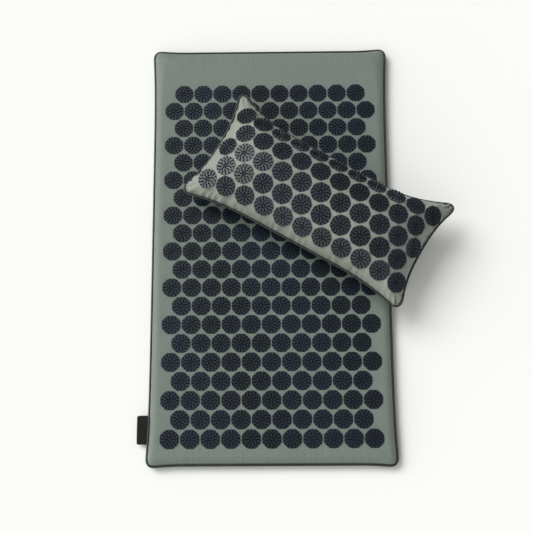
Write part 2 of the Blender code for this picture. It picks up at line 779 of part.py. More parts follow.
def build_slider(name, cover, place, parts, cutters):
    """Slider body with its bail, made from a section cut to plan."""
    section = slider_section(cover)
    half = SLIDER_LENGTH / 2
    rings = [[(x, y, z) for y, z in section] for x in (-half, half)]
    item = add_mesh_object(name, loft(rings), "zip_metal", parts, place)
    plate_top = section[len(section) // 2][1]
    low = -cover - ZIP_TAPE_THICKNESS - SLIDER_BACK_PLATE - CUT_OVERRUN
    plan = prism(slider_outline(), low, plate_top + CUT_OVERRUN)
    apply_boolean(item, add_cutter(name + "_plan", plan, cutters, place), 'INTERSECT')
    tape_top, _, coil_top = slider_levels(cover)
    neck_end = half - SLIDER_LENGTH * SLIDER_NECK_SHARE
    opening = box((-half - CUT_OVERRUN, -ZIP_CENTRE_GAP / 2, tape_top - ZIP_TAPE_THICKNESS - FIT_GAP),
                  (neck_end, ZIP_CENTRE_GAP / 2, coil_top + FIT_GAP))
    apply_boolean(item, add_cutter(name + "_rear", opening, cutters, place), 'DIFFERENCE')
    axis_height = pull_axis_height(cover)
    outline = []
    outer = BAIL_INNER_RADIUS + BAIL_THICKNESS
    foot = plate_top - SLIDER_PLATE / 2
    for radius, order in ((outer, 1), (BAIL_INNER_RADIUS, -1)):
        arc = [(radius, foot)]
        for step in range(BAIL_STEPS + 1):
            angle = math.pi * step / BAIL_STEPS
            arc.append((radius * math.cos(angle), axis_height + radius * math.sin(angle)))
        arc.append((-radius, foot))
        outline += arc[::order]
    rings = [[(x, y, z) for x, z in outline] for y in (-BAIL_WIDTH / 2, BAIL_WIDTH / 2)]
    apply_boolean(item, add_cutter(name + "_bail", loft(rings), cutters, place), 'UNION')
    return item


def pull_axis_height(cover):
    """Height of the pull's hinge above the cover's face."""
    coil_top = slider_levels(cover)[2]
    plate_top = coil_top + FIT_GAP + SLIDER_PLATE
    return plate_top + PULL_THICKNESS / math.sqrt(2) + PULL_AXIS_CLEARANCE


def build_pull(name, place, parts):
    """Flat tab with a window for the bail, its origin on the hinge's axis."""
    curve = bpy.data.curves.new(name, 'CURVE')
    curve.dimensions = '2D'
    curve.fill_mode = 'BOTH'
    curve.extrude = PULL_THICKNESS / 2
    bar = PULL_THICKNESS / 2
    end = -PULL_LENGTH
    root, tip = PULL_WIDTH / 2, PULL_TIP_WIDTH / 2
    outer = [(bar, -root), (bar, root), (end / 2, root), (end + tip, tip)]
    for step in range(1, 6):
        angle = math.pi / 2 + math.pi * step / 6
        outer.append((end + tip + tip * math.cos(angle), tip * math.sin(angle)))
    outer += [(end + tip, -tip), (end / 2, -root)]
    window_end = -bar - PULL_WINDOW_LENGTH
    half = PULL_WINDOW_WIDTH / 2
    window = [(-bar, -half), (window_end, -half), (window_end, half), (-bar, half)]
    for outline in (outer, window):
        spline = curve.splines.new('POLY')
        spline.points.add(len(outline) - 1)
        for target, (x, y) in zip(spline.points, outline):
            target.co = (x, y, 0, 1)
        spline.use_cyclic_u = True
    curve.materials.append(material("zip_metal"))
    item = bpy.data.objects.new(name, curve)
    parts.objects.link(item)
    item.matrix_world = place
    return item


def build_zip(prefix, place, length, cover, parts, cutters):
    """Both tapes, both coils, the stops, the slider at the closed end and its pull."""
    tape_top, coil_bottom, coil_top = slider_levels(cover)
    tape_low = tape_top - ZIP_TAPE_THICKNESS
    gap = ZIP_CENTRE_GAP / 2
    reach = ZIP_SLOT_WIDTH / 2 + ZIP_TAPE_OVERLAP
    stop_at = length / 2 - ZIP_END_MARGIN
    coil_end = stop_at - ZIP_STOP_LENGTH - FIT_GAP
    for word, sign in (("upper", 1), ("lower", -1)):
        sides = sorted((sign * gap, sign * reach))
        tape = box((-length / 2, sides[0], tape_low), (length / 2, sides[1], tape_top))
        add_mesh_object(f"{prefix}_zip_tape_{word}", tape, "zip_tape", parts, place)
        sides = sorted((sign * gap, sign * (gap + ZIP_COIL_WIDTH)))
        coil = box((-coil_end, sides[0], coil_bottom), (coil_end, sides[1], coil_top))
        item = add_mesh_object(f"{prefix}_zip_coil_{word}", coil, "zip_nylon", parts, place)
        bevel = item.modifiers.new("round_coil", 'BEVEL')
        bevel.width = ZIP_COIL_HEIGHT / 4
        bevel.segments = 1
    for word, sign in (("top", 1), ("bottom", -1)):
        ends = sorted((sign * (stop_at - ZIP_STOP_LENGTH), sign * stop_at))
        width = gap + ZIP_COIL_WIDTH
        stop = box((ends[0], -width, coil_bottom), (ends[1], width, coil_top))
        item = add_mesh_object(f"{prefix}_zip_{word}_stop", stop, "zip_metal", parts, place)
        bevel = item.modifiers.new("eased", 'BEVEL')
        bevel.width = ZIP_COIL_HEIGHT / 4
        bevel.segments = 1
    closed_x = zip_closed_x(length)
    slider_place = place @ Matrix.Translation((closed_x, 0, 0))
    build_slider(f"{prefix}_zip_slider", cover, slider_place, parts, cutters)
    hinge = slider_place @ Matrix.Translation((0, 0, pull_axis_height(cover)))
    build_pull(f"{prefix}_zip_pull", hinge, parts)


def zip_closed_x(length):
    """Slider's place at the closed end, just short of the top stop."""
    return length / 2 - ZIP_END_MARGIN - ZIP_STOP_LENGTH - SLIDER_LENGTH / 2 - ZIP_STOP_LENGTH / 3


def main():
    clear_scene()
    parts = make_collection("acupressure_mat")
    cutters = make_collection("cutters")
    build_mat_cover(parts, cutters)
    build_mat_foam(parts)
    closed_tube("mat_piping", ring_at(PIPING_OFFSET, SEAM_HEIGHT), PIPING_DIAMETER,
                "dark_piping", parts)
    build_mat_label(parts)
    build_zip("mat", mat_zip_place(), MAT_ZIP_LENGTH, COVER_THICKNESS, parts, cutters)
    build_pillow_top(parts)
    build_pillow_bottom(parts, cutters)
    build_pillow_inside(parts)
    build_pillow_piping(parts)
    build_zip("pillow", pillow_zip_place(), PILLOW_ZIP_LENGTH, PILLOW_COVER_THICKNESS,
              parts, cutters)


main()
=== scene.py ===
"""Looks of an acupressure mat and its pillow, built round the packed part's frame.

The origin lies under the middle of the mat, +X runs across it, +Y towards its head end and
+Z up. Lengths are in metres. Each operator makes one piece or one group of like pieces.
"""
import math

import bpy
import numpy as np
from bpy.props import FloatProperty, FloatVectorProperty, PointerProperty
from bpy.types import Operator, Panel, PropertyGroup
from mathutils import Matrix, Vector


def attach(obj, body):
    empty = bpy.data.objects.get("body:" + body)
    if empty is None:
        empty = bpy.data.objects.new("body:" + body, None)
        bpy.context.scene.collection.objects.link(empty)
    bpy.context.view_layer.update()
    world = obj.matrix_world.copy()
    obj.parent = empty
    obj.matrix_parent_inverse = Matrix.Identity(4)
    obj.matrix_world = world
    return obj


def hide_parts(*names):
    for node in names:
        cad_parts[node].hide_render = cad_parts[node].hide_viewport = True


bl_info = {
    "name": "Acupressure Mat and Pillow",
    "version": (1, 0, 0),
    "blender": (4, 5, 0),
    "location": "View3D > Sidebar > Acupressure Mat",
    "description": "Builds the covers, spiked discs, trim, zips and studio stage",
    "category": "Object",
}

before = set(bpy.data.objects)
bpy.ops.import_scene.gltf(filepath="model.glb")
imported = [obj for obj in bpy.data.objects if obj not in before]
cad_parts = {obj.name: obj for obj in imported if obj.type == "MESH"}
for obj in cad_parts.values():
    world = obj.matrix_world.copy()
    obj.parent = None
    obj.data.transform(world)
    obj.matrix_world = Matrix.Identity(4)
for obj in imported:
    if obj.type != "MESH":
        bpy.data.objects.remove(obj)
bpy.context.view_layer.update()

UP = np.array((0.0, 0.0, 1.0))
TINY = 1e-9
FIT_GAP = 0.0003

# Mat
COVER_THICKNESS = 0.001
MAT_HALF_WIDTH = 0.210
MAT_HALF_LENGTH = 0.377
MAT_SIDE_DRAW_IN = 0.005
MAT_SIDE_ROUNDNESS = 6
MAT_END_DRAW_IN = 0.0038
MAT_STRAIGHT_END_SHARE = 0.72
MAT_CORNER_RADIUS = 0.012
MAT_TOP = 0.0226
SEAM_HEIGHT = 0.0128
TOP_EDGE_RUN = 0.016
TOP_EDGE_STEPS = 6
TOP_EDGE_SQUARENESS = 3.2
BOTTOM_EDGE_RADIUS = 0.0016
BOTTOM_EDGE_STEPS = 3
MAT_CLOTH_PITCH = 0.0058
MAT_UNDER_PITCH = 0.012
MAT_CLOTH_STRETCH = 1.02

# Piping
PIPING_RADIUS = 0.0019
PIPING_OFFSET = 0.0022
PIPING_SIDES = 12
PIPING_PITCH = 0.003
PIPING_EASING_ROUNDS = 2

# Spiked discs: outline, hub as radius and height over the plate, and rings of points
DISC_WIDTH = 0.0324
PILLOW_DISC_SCALE = 1.06
DISC_SIDES = 8
DISC_CORNER_SHARE = 0.2
DISC_CORNER_EASE = 0.19
DISC_RIM_EASE = 0.0003
DISC_PITCH_ALONG_ROW = 0.0345
DISC_ROW_SPACING = 0.0328
MAT_ROWS = 20
MAT_LONG_ROW = 11
MAT_FIRST_ROW_Y = -0.3327
DISC_ROOT_DEPTH = 0.0005
HUB_PROFILE = ((0.0038, 0), (0.0034, -0.0004), (0.0013, -0.0004), (0.0010, 0.0002),
               (0.0005, 0.0004))
# Bands of the hub's groove, which take the points' darker plastic as painted shade
HUB_GROOVE_BANDS = (3, 4)
SPIKE_RINGS = ((15, 0.0142), (12, 0.0109), (9, 0.0080), (6, 0.0051))
SPIKE_RING_TURNS = (0.276, 0.874, 0.176, 0.094)
SPIKE_HALF_LENGTH = 0.0019
SPIKE_HALF_WIDTH = 0.0011
SPIKE_SIDES = 6
SPIKE_ROOT_DEPTH = 0.0001
SPIKE_PROFILE = ((0.0, 1.0), (0.4, 0.6), (0.93, 0.17), (1.0, 0.06))

# Cloth round the discs: level within the seat, and gathers only past the calm radius
MAT_SEAT_RADIUS = 0.0145
MAT_CALM_RADIUS = 0.0175
PILLOW_BED_RADIUS = 0.0200
PILLOW_SEAT_RADIUS = 0.0160
PILLOW_CALM_RADIUS = 0.0172
PILLOW_BED_EASE = 0.003
PILLOW_BED_REACH = 0.01

# Pillow
PILLOW_HALF_LENGTH = 0.2155
PILLOW_HALF_WIDTH = 0.1055
PILLOW_CENTRE = (0.0838, 0.0778)
PILLOW_TURN_DEGREES = -30.1
PILLOW_SEAM_HEIGHT = 0.038
PILLOW_SEAM_Z = 0.0654
PILLOW_CROWN = 0.0527
PILLOW_UNDER_BULGE = 0.043
PILLOW_END_DRAW_IN = 0.0188
PILLOW_NEAR_DRAW_IN = 0.0165
PILLOW_FAR_DRAW_IN = 0.0335
PILLOW_CORNER_RUN = 0.028
PILLOW_CORNER_RADIUS = 0.020
PILLOW_EAR_PULL = 0.0025
PILLOW_EAR_SHARPNESS = 4
PILLOW_LEVEL_SHARE = 0.43
PILLOW_ROUNDNESS = 2.22
PILLOW_ROUNDNESS_OF_ENDS = 2.5
PILLOW_CLOTH_THICKNESS = 0.0012
PILLOW_DISC_PITCH = 0.0375
PILLOW_ROW_SPACING = 0.0337
PILLOW_ROWS = 5
PILLOW_LONG_ROW = 11
PILLOW_ROW_SHIFT = -0.0052
PILLOW_COLUMN_SHIFT = 0.0055
PILLOW_PLACING_ROUNDS = 5
PILLOW_CLOTH_PITCH = 0.0031
PILLOW_UNDER_PITCH = 0.006
PILLOW_REST_MARGIN = 0.0005
SKIN_SAMPLES = 400
SEAM_SAMPLES = 120

# Inner bag, its filling and the foam
LINER_THICKNESS = 0.0006
LINER_SIDE_CLEARANCE = 0.0037
LINER_TOP_CLEARANCE = 0.0040
LINER_PITCH = 0.010
FILLING_SIDE_CLEARANCE = 0.0004
FILLING_PITCH = 0.008
FILLING_LUMP_HEIGHT = 0.0006
FILLING_LUMP_RUNS = (0.004, 0.0045)
FILLING_WELD_GAP = 0.00001
FILLING_COLOUR = (0.42, 0.36, 0.27)
FOAM_COLOUR = (0.55, 0.52, 0.44)
FOAM_EDGE_EASE = 0.0006

# Side label
LABEL_WIDTH = 0.049
LABEL_REACH = 0.0185
LABEL_FROM_FOOT_END = 0.0374
LABEL_THICKNESS = 0.0004
LABEL_FOLD_RADIUS = 0.0006
LABEL_FOLD_STEPS = 8
LABEL_CORNER_RADIUS = 0.003
LABEL_SAG = 0.0003
LABEL_SAG_RUN = 0.01
LABEL_LINES_ALONG = 14
LABEL_LINES_ACROSS = 24

# Zips: half lengths of the slots, and the layers across the chain
MAT_ZIP_HALF = 0.147
PILLOW_ZIP_HALF = 0.09051
PILLOW_ZIP_SHARES = (0.80, 0.95)
ZIP_SLOT_WIDTH = 0.0076
ZIP_SLOT_HALF_DEPTH = 0.006
ZIP_TAPE_OVERLAP = 0.0022
ZIP_TAPE_THICKNESS = 0.0006
ZIP_TAPE_PITCH = 0.004
ZIP_TAPE_LINES_ACROSS = 5
ZIP_COIL_WIDTH = 0.0019
ZIP_COIL_HEIGHT = 0.0015
ZIP_WIRE_RADIUS = 0.0003
ZIP_WIRE_SIDES = 5
ZIP_CENTRE_GAP = 0.001
ZIP_STOP_LENGTH = 0.003
ZIP_END_MARGIN = 0.004
ZIP_TURN_PITCH = 0.00125
ZIP_TURN_STEPS = 10
METAL_EDGE_EASE = 0.00012

# Seams: how far ripples reach from them, and where and how high the mat's gathers stand
MAT_SIDE_RIPPLE_REACH = 0.010
MAT_END_RIPPLE_REACH = 0.022
PILLOW_RIPPLE_REACH = 0.012
MAT_END_GATHER_HEIGHT = 0.00022
MAT_SIDE_GATHER_HEIGHT = 0.00015
MAT_GATHER_ONSET = 0.003
PILLOW_GATHER_ONSET = 0.0035

# Cloth simulation: the reaches are how far a point may move, near the edge and elsewhere
MAT_SWELL = {
    "growth": 0.03,
    "slack_run": 0.02,
    "least_slack": 0.25,
    "edge_width": 0.04,
    "edge_reach": 0.0007,
    "middle_reach": 0.0005,
}
PILLOW_SWELL = {
    "growth": 0.06,
    "slack_run": 0.018,
    "least_slack": 0.2,
    "edge_width": 0.03,
    "edge_reach": 0.0025,
    "middle_reach": 0.0015,
}
SWELL_STEPS = 20
SWELL_SETTINGS = {
    "quality": 4,
    "mass": 0.2,
    "tension_stiffness": 20,
    "compression_stiffness": 20,
    "shear_stiffness": 8,
    "bending_stiffness": 0.6,
    "vertex_group_mass": "held",
    "vertex_group_shrink": "slack",
    "shrink_min": 0,
    "use_pressure": True,
}

# Stage: each lamp's name, setting, direction and spread in degrees, and the camera's place
LAMPS = (
    ("softbox", "key_share", (-0.53, 0.39, 0.755), 38),
    ("side_light", "side_share", (-0.68, -0.66, 0.31), 90),
    ("low_light", "low_share", (-0.88, 0.36, 0.24), 60),
)
LAMP_DISTANCE = 4.0
FLOOR_HALF_SIZE = 40.0
FLOOR_DROP = 0.0002
CAMERA_PLACE = (0.0182, -0.5505, 2.0060)
CAMERA_TURN_DEGREES = (14.61, 0.81, -0.26)
CAMERA_SENSOR = 36


# Settings


class AcupressureClothSettings(PropertyGroup):
    """Cotton of the covers."""

    colour: FloatVectorProperty(
        name="Mat", description="Colour of the mat's cotton", subtype='COLOR',
        size=3, min=0, max=1, default=(0.160, 0.198, 0.167))
    # The pillow's cotton is the mat's cloth painted lighter, as painted light for the stronger light
    # on the pillow.
    pillow_painted_light_colour: FloatVectorProperty(
        name="Pillow", description="Colour of the pillow's cotton", subtype='COLOR',
        size=3, min=0, max=1, default=(0.245, 0.273, 0.229))
    lining_colour: FloatVectorProperty(
        name="Inner bag", description="Colour of the pillow's inner bag", subtype='COLOR',
        size=3, min=0, max=1, default=(0.60, 0.59, 0.55))
    thread_pitch: FloatProperty(
        name="Thread pitch", description="Distance between threads of the weave",
        subtype='DISTANCE', unit='LENGTH', min=0.0002, max=0.002, default=0.00055)
    pressure: FloatProperty(
        name="Pressure", description="How hard the filling swells the covers",
        min=0, max=20, default=4)
    pucker_height: FloatProperty(
        name="Pucker height", description="Height of the gathers along the pillow's seam",
        subtype='DISTANCE', unit='LENGTH', min=0, max=0.004, default=0.0034)


class AcupressureDiscSettings(PropertyGroup):
    """Moulded discs with their points."""

    colour: FloatVectorProperty(
        name="Mat discs", description="Colour of the mat's moulded discs", subtype='COLOR',
        size=3, min=0, max=1, default=(0.0030, 0.0100, 0.0185))
    # The pillow's discs are the mat's plastic painted lighter, as painted light for the highlights on
    # the pillow.
    pillow_painted_light_colour: FloatVectorProperty(
        name="Pillow discs", description="Colour of the pillow's moulded discs", subtype='COLOR',
        size=3, min=0, max=1, default=(0.0160, 0.0225, 0.0290))
    # The points share the discs' plastic; their darker colour is painted shade.
    point_painted_shade_colour: FloatVectorProperty(
        name="Points", description="Colour of the sharp points", subtype='COLOR',
        size=3, min=0, max=1, default=(0.0060, 0.0092, 0.0140))
    height: FloatProperty(
        name="Height", description="Height of the points above the cloth",
        subtype='DISTANCE', unit='LENGTH', min=0.002, max=0.0046, default=0.0045)
    plate: FloatProperty(
        name="Plate", description="Thickness of the disc between its points",
        subtype='DISTANCE', unit='LENGTH', min=0.0005, max=0.002, default=0.0011)


class AcupressureTrimSettings(PropertyGroup):
    """Piping, label and zips."""

    piping_colour: FloatVectorProperty(
        name="Piping", description="Colour of the piping", subtype='COLOR',
        size=3, min=0, max=1, default=(0.020, 0.022, 0.022))
    label_colour: FloatVectorProperty(
        name="Label", description="Colour of the side label", subtype='COLOR',
        size=3, min=0, max=1, default=(0.010, 0.011, 0.011))
    zip_colour: FloatVectorProperty(
        name="Zip", description="Colour of the zip's tape and coil", subtype='COLOR',
        size=3, min=0, max=1, default=(0.020, 0.022, 0.022))
    metal_colour: FloatVectorProperty(
        name="Slider", description="Colour of the zip's slider and pull", subtype='COLOR',
        size=3, min=0, max=1, default=(0.16, 0.165, 0.17))


class AcupressureStageSettings(PropertyGroup):
    """Floor, lights and camera."""

    floor_colour: FloatVectorProperty(
        name="Floor", description="Colour of the floor", subtype='COLOR',
        size=3, min=0, max=1, default=(0.955, 0.965, 0.93))
    key_share: FloatProperty(
        name="Softbox", description="Share of the floor's light that the softbox gives",
        subtype='FACTOR', min=0, max=1, default=0.49)
    side_share: FloatProperty(
        name="Side light", description="Share of the floor's light that the side light gives",
        subtype='FACTOR', min=0, max=1, default=0.14)
    low_share: FloatProperty(
        name="Low light", description="Share of the floor's light that the lowest light gives",
        subtype='FACTOR', min=0, max=1, default=0.06)
    fill: FloatProperty(
        name="Fill", description="Strength of the light from all round",
        min=0, max=2, default=0.30)
    lens: FloatProperty(
        name="Lens", description="Focal length of the camera in millimetres",
        min=10, max=300, default=79.4)


# Meshes


def add_object(name, data):
    """New object in the scene."""
    item = bpy.data.objects.new(name, data)
    bpy.context.scene.collection.objects.link(item)
    return item


def add_piece(name, points, faces, finish, body):
    """Mesh piece with its finish that rides on a body."""
    mesh = bpy.data.meshes.new(name)
    mesh.from_pydata(np.asarray(points).reshape(-1, 3).tolist(), [], faces)
    mesh.update()
    mesh.shade_smooth()
    mesh.materials.append(finish)
    item = add_object(name, mesh)
    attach(item, body)
    return item


def grid_faces(columns, rows, start=0, up=True):
    """Quads of a grid of columns by rows, facing up when X runs over the columns."""
    faces = []
    for i in range(columns - 1):
        for j in range(rows - 1):
            a = start + i * rows + j
            face = (a, a + rows, a + rows + 1, a + 1)
            faces.append(face if up else face[::-1])
    return faces


def band_faces(a, b, count):
    """Quads between two rings of points, which start at a and at b."""
    return [(a + i, a + (i + 1) % count, b + (i + 1) % count, b + i) for i in range(count)]


def border_of(columns, rows):
    """Indices round the border of a grid, anticlockwise seen from above."""
    loop = [i * rows for i in range(columns)]
    loop += [(columns - 1) * rows + j for j in range(1, rows)]
    loop += [i * rows + rows - 1 for i in range(columns - 2, -1, -1)]
    return loop + list(range(rows - 2, 0, -1))


def unit(vectors):
    """Vectors brought to length one."""
    return vectors / np.maximum(np.linalg.norm(vectors, axis=-1, keepdims=True), TINY)


def normals_of(points):
    """Unit normals of a grid of points."""
    return unit(np.cross(np.gradient(points, axis=0), np.gradient(points, axis=1)))


def outwards(line):
    """Level directions out of a closed level line that runs anticlockwise."""
    return np.cross(unit(np.roll(line, -1, 0) - np.roll(line, 1, 0)), UP)


def lengths_along(line):
    """Distance of each point along a line of points."""
    steps = np.linalg.norm(np.diff(line, axis=0), axis=1)
    return np.concatenate([[0.0], np.cumsum(steps)])


def tube(line, side, up, radius, sides, closed=False):
    """Points and faces of a round cord along a line, given two directions square to it."""
    angles = [2 * math.pi * step / sides for step in range(sides)]
    rings = [line + radius * (math.cos(angle) * side + math.sin(angle) * up) for angle in angles]
    count = len(line)
    faces = []
    for i in range(count if closed else count - 1):
        faces += band_faces(i * sides, (i + 1) % count * sides, sides)
    if not closed:
        faces.append(tuple(range(sides - 1, -1, -1)))
        faces.append(tuple(range((count - 1) * sides, count * sides)))
    return np.stack(rings, 1), faces


def store_vectors(item, name, first, second):
    """Attribute of the points that holds two values for each."""
    vectors = np.column_stack([first.ravel(), second.ravel(), np.zeros(first.size)])
    attribute = item.data.attributes.new(name, 'FLOAT_VECTOR', 'POINT')
    attribute.data.foreach_set("vector", vectors.ravel())


def coordinates(mesh):
    """Places of a mesh's points."""
    values = np.empty(len(mesh.vertices) * 3)
    mesh.vertices.foreach_get("co", values)
    return values.reshape(-1, 3)


def move_points(item, moves):
    """Move each point of a piece."""
    item.data.vertices.foreach_set("co", (coordinates(item.data) + moves).ravel())
    item.data.update()


def thicken(item, thickness, offset, levels=0):
    """Give a sheet its thickness, and finer levels if asked."""
    if levels:
        smooth = item.modifiers.new("smooth", 'SUBSURF')
        smooth.levels = smooth.render_levels = levels
    solid = item.modifiers.new("cloth", 'SOLIDIFY')
    solid.thickness = thickness
    solid.offset = offset
    solid.use_even_offset = False


def ease_edges(item, width):
    """Take the sharpness off a piece's edges."""
    ease = item.modifiers.new("ease", 'BEVEL')
    ease.width = width
    ease.segments = 2
    ease.limit_method = 'ANGLE'


def wander(places, scale, seed):
    """Smooth irregular waves from -1 to 1 along a length, the same on every run."""
    turns = places / scale
    phase = 1.7 * np.sin(turns / 3.7 + seed) + 0.9 * np.sin(turns / 6.1 + 2 * seed)
    return np.sin(turns + phase) * (0.6 + 0.4 * np.sin(turns / 7.9 + 3 * seed))


def gathers(along, gap, width, reach, seed):
    """Gathers square to a seam, which fade with the gap from it."""
    return wander(along, width, seed) * np.exp(-gap / reach)


def swell(item, held, edge, growth, slack_run, least_slack, edge_width, edge_reach, middle_reach):
    """Cloth simulation of a cover over its padding, each point kept within its reach."""
    held = (held | (edge < TINY)).ravel().astype(float)
    slack = np.clip(np.exp(-edge / slack_run) + least_slack, 0, 1)
    reach = np.where(edge < edge_width, edge_reach, middle_reach)
    for name, weights in (("held", held), ("slack", slack.ravel())):
        group = item.vertex_groups.new(name=name)
        for index in np.flatnonzero(weights > 0):
            group.add([int(index)], float(weights[index]), 'REPLACE')
    scene = bpy.context.scene
    cloth = item.modifiers.new("swell", 'CLOTH')
    for key, value in SWELL_SETTINGS.items():
        setattr(cloth.settings, key, value)
    cloth.settings.shrink_max = -growth
    cloth.settings.uniform_pressure_force = scene.acupressure_cloth.pressure
    cloth.settings.effector_weights.gravity = 0
    cloth.collision_settings.use_collision = False
    cloth.point_cache.frame_start = 1
    cloth.point_cache.frame_end = SWELL_STEPS
    for step in range(1, SWELL_STEPS + 1):
        scene.frame_set(step)
    shown = item.evaluated_get(bpy.context.evaluated_depsgraph_get())
    moves = coordinates(shown.data) - coordinates(item.data)
    lengths = np.linalg.norm(moves, axis=1)
    limit = reach.ravel() * (1 - held)
    moves *= np.minimum(1, limit / np.maximum(lengths, TINY))[:, None]
    item.modifiers.remove(cloth)
    move_points(item, moves)
    item.vertex_groups.clear()
    scene.frame_set(1)


# Shader nodes


def add_node(tree, kind, inputs=None, **settings):
    """Node with its settings, each input given a value or linked to another's socket."""
    made = tree.nodes.new(kind)
    for key, value in settings.items():
        setattr(made, key, value)
    for key, value in (inputs or {}).items():
        if isinstance(value, bpy.types.NodeSocket):
            tree.links.new(value, made.inputs[key])
        else:
            made.inputs[key].default_value = value
    return made


def calc(tree, operation, *values):
    """Output of a Math node on the values."""
    return add_node(tree, 'ShaderNodeMath', dict(enumerate(values)), operation=operation).outputs[0]


def times(tree, first, second):
    """Output of a Math node that multiplies."""
    return calc(tree, 'MULTIPLY', first, second)


def blend_colour(tree, factor, low, high, blend='MIX'):
    """Output of a colour Mix node."""
    return add_node(tree, 'ShaderNodeMix', {0: factor, 6: low, 7: high}, data_type='RGBA',
                    blend_type=blend).outputs[2]


def noise_of(tree, vector, scale, detail=3.0, roughness=0.55):
    """Value of a noise texture."""
    return add_node(tree, 'ShaderNodeTexNoise',
                    {"Vector": vector, "Scale": scale, "Detail": detail,
                     "Roughness": roughness}).outputs[0]


def spread(tree, value, low, high, new_low=0.0, new_high=1.0):
    """A value moved from one range to another."""
    return add_node(tree, 'ShaderNodeMapRange',
                    {"Value": value, "From Min": low, "From Max": high,
                     "To Min": new_low, "To Max": new_high}).outputs[0]


def attribute_of(tree, name, output):
    """Output of an attribute of the points."""
    return add_node(tree, 'ShaderNodeAttribute', attribute_name=name).outputs[output]


def object_place(tree):
    """Place on the piece itself."""
    return add_node(tree, 'ShaderNodeTexCoord').outputs["Object"]


def new_group(name, inputs, outputs):
    """Empty shader node group with its sockets, and its end nodes."""
    tree = bpy.data.node_groups.new(name, 'ShaderNodeTree')
    for label, kind, value in inputs:
        socket = tree.interface.new_socket(label, in_out='INPUT', socket_type=kind)
        if value is not None:
            socket.default_value = value
    for label, kind in outputs:
        tree.interface.new_socket(label, in_out='OUTPUT', socket_type=kind)
    return tree, tree.nodes.new('NodeGroupInput'), tree.nodes.new('NodeGroupOutput')


def place_group(tree, builder, **values):
    """Node that holds a shared group, built the first time it is asked for."""
    group = bpy.data.node_groups.get(builder.__name__) or builder(builder.__name__)
    inputs = {key.replace("_", " ").capitalize(): value for key, value in values.items()}
    return add_node(tree, 'ShaderNodeGroup', inputs, node_tree=group)


def plain_weave(name):
    """Plain weave: round threads that pass over and under each other, each a little different."""
    tree, start, end = new_group(
        name, [("Vector", 'NodeSocketVector', None), ("Threads per metre", 'NodeSocketFloat', 1800.0)],
        [("Height", 'NodeSocketFloat'), ("Shade", 'NodeSocketFloat')])
    place = add_node(tree, 'ShaderNodeVectorMath',
                     {0: start.outputs["Vector"], "Scale": start.outputs["Threads per metre"]},
                     operation='SCALE').outputs[0]
    drift = add_node(tree, 'ShaderNodeTexNoise', {"Vector": place, "Scale": 0.09, "Detail": 2.0})
    moved = add_node(tree, 'ShaderNodeVectorMath',
                     {0: drift.outputs["Color"], 1: (1.1, 1.1, 0.0), 2: place},
                     operation='MULTIPLY_ADD').outputs[0]
    axes = add_node(tree, 'ShaderNodeSeparateXYZ', {0: moved})
    x, y = axes.outputs[0], axes.outputs[1]
    sine_x = calc(tree, 'SINE', times(tree, x, math.pi))
    sine_y = calc(tree, 'SINE', times(tree, y, math.pi))
    round_x, round_y = calc(tree, 'ABSOLUTE', sine_x), calc(tree, 'ABSOLUTE', sine_y)
    upper = calc(tree, 'GREATER_THAN', times(tree, sine_x, sine_y), 0.0)
    warp = times(tree, round_x, calc(tree, 'MULTIPLY_ADD', round_y, 0.45, 0.55))
    weft = times(tree, round_y, calc(tree, 'MULTIPLY_ADD', round_x, 0.45, 0.55))
    height = calc(tree, 'MULTIPLY_ADD', calc(tree, 'SUBTRACT', warp, weft), upper, weft)
    shades = []
    for near, along in ((x, y), (y, x)):
        line = add_node(tree, 'ShaderNodeCombineXYZ',
                        {0: calc(tree, 'FLOOR', near), 1: times(tree, along, 0.035)})
        shades.append(noise_of(tree, line.outputs[0], 1.9, 2.0, 0.6))
    shade = calc(tree, 'MULTIPLY_ADD', calc(tree, 'SUBTRACT', *shades), upper, shades[1])
    tree.links.new(height, end.inputs["Height"])
    tree.links.new(shade, end.inputs["Shade"])
    return tree


def soft_mottle(name):
    """Uneven dye and soft wear at three sizes, from 0 to 1."""
    tree, start, end = new_group(
        name, [("Vector", 'NodeSocketVector', None), ("Patches per metre", 'NodeSocketFloat', 120.0)],
        [("Mask", 'NodeSocketFloat'), ("Fine", 'NodeSocketFloat')])
    vector, rate = start.outputs["Vector"], start.outputs["Patches per metre"]
    broad = noise_of(tree, vector, times(tree, rate, 0.12), 2.0)
    middle = noise_of(tree, vector, rate, 3.0)
    fine = noise_of(tree, vector, times(tree, rate, 4.5), 3.0, 0.65)
    mixed = calc(tree, 'MULTIPLY_ADD', middle, 0.3, times(tree, fine, 0.35))
    mixed = calc(tree, 'MULTIPLY_ADD', broad, 0.35, mixed)
    tree.links.new(spread(tree, mixed, 0.3, 0.7), end.inputs["Mask"])
    tree.links.new(fine, end.inputs["Fine"])
    return tree


def moulded_grain(name):
    """Fine grain and faint scuffs of a hard surface."""
    tree, start, end = new_group(
        name, [("Vector", 'NodeSocketVector', None), ("Grains per metre", 'NodeSocketFloat', 3000.0)],
        [("Height", 'NodeSocketFloat'), ("Scuff", 'NodeSocketFloat')])
    vector, rate = start.outputs["Vector"], start.outputs["Grains per metre"]
    scuff = noise_of(tree, vector, times(tree, rate, 0.07), 4.0, 0.7)
    tree.links.new(noise_of(tree, vector, rate, 2.0, 0.5), end.inputs["Height"])
    tree.links.new(spread(tree, scuff, 0.35, 0.75), end.inputs["Scuff"])
    return tree


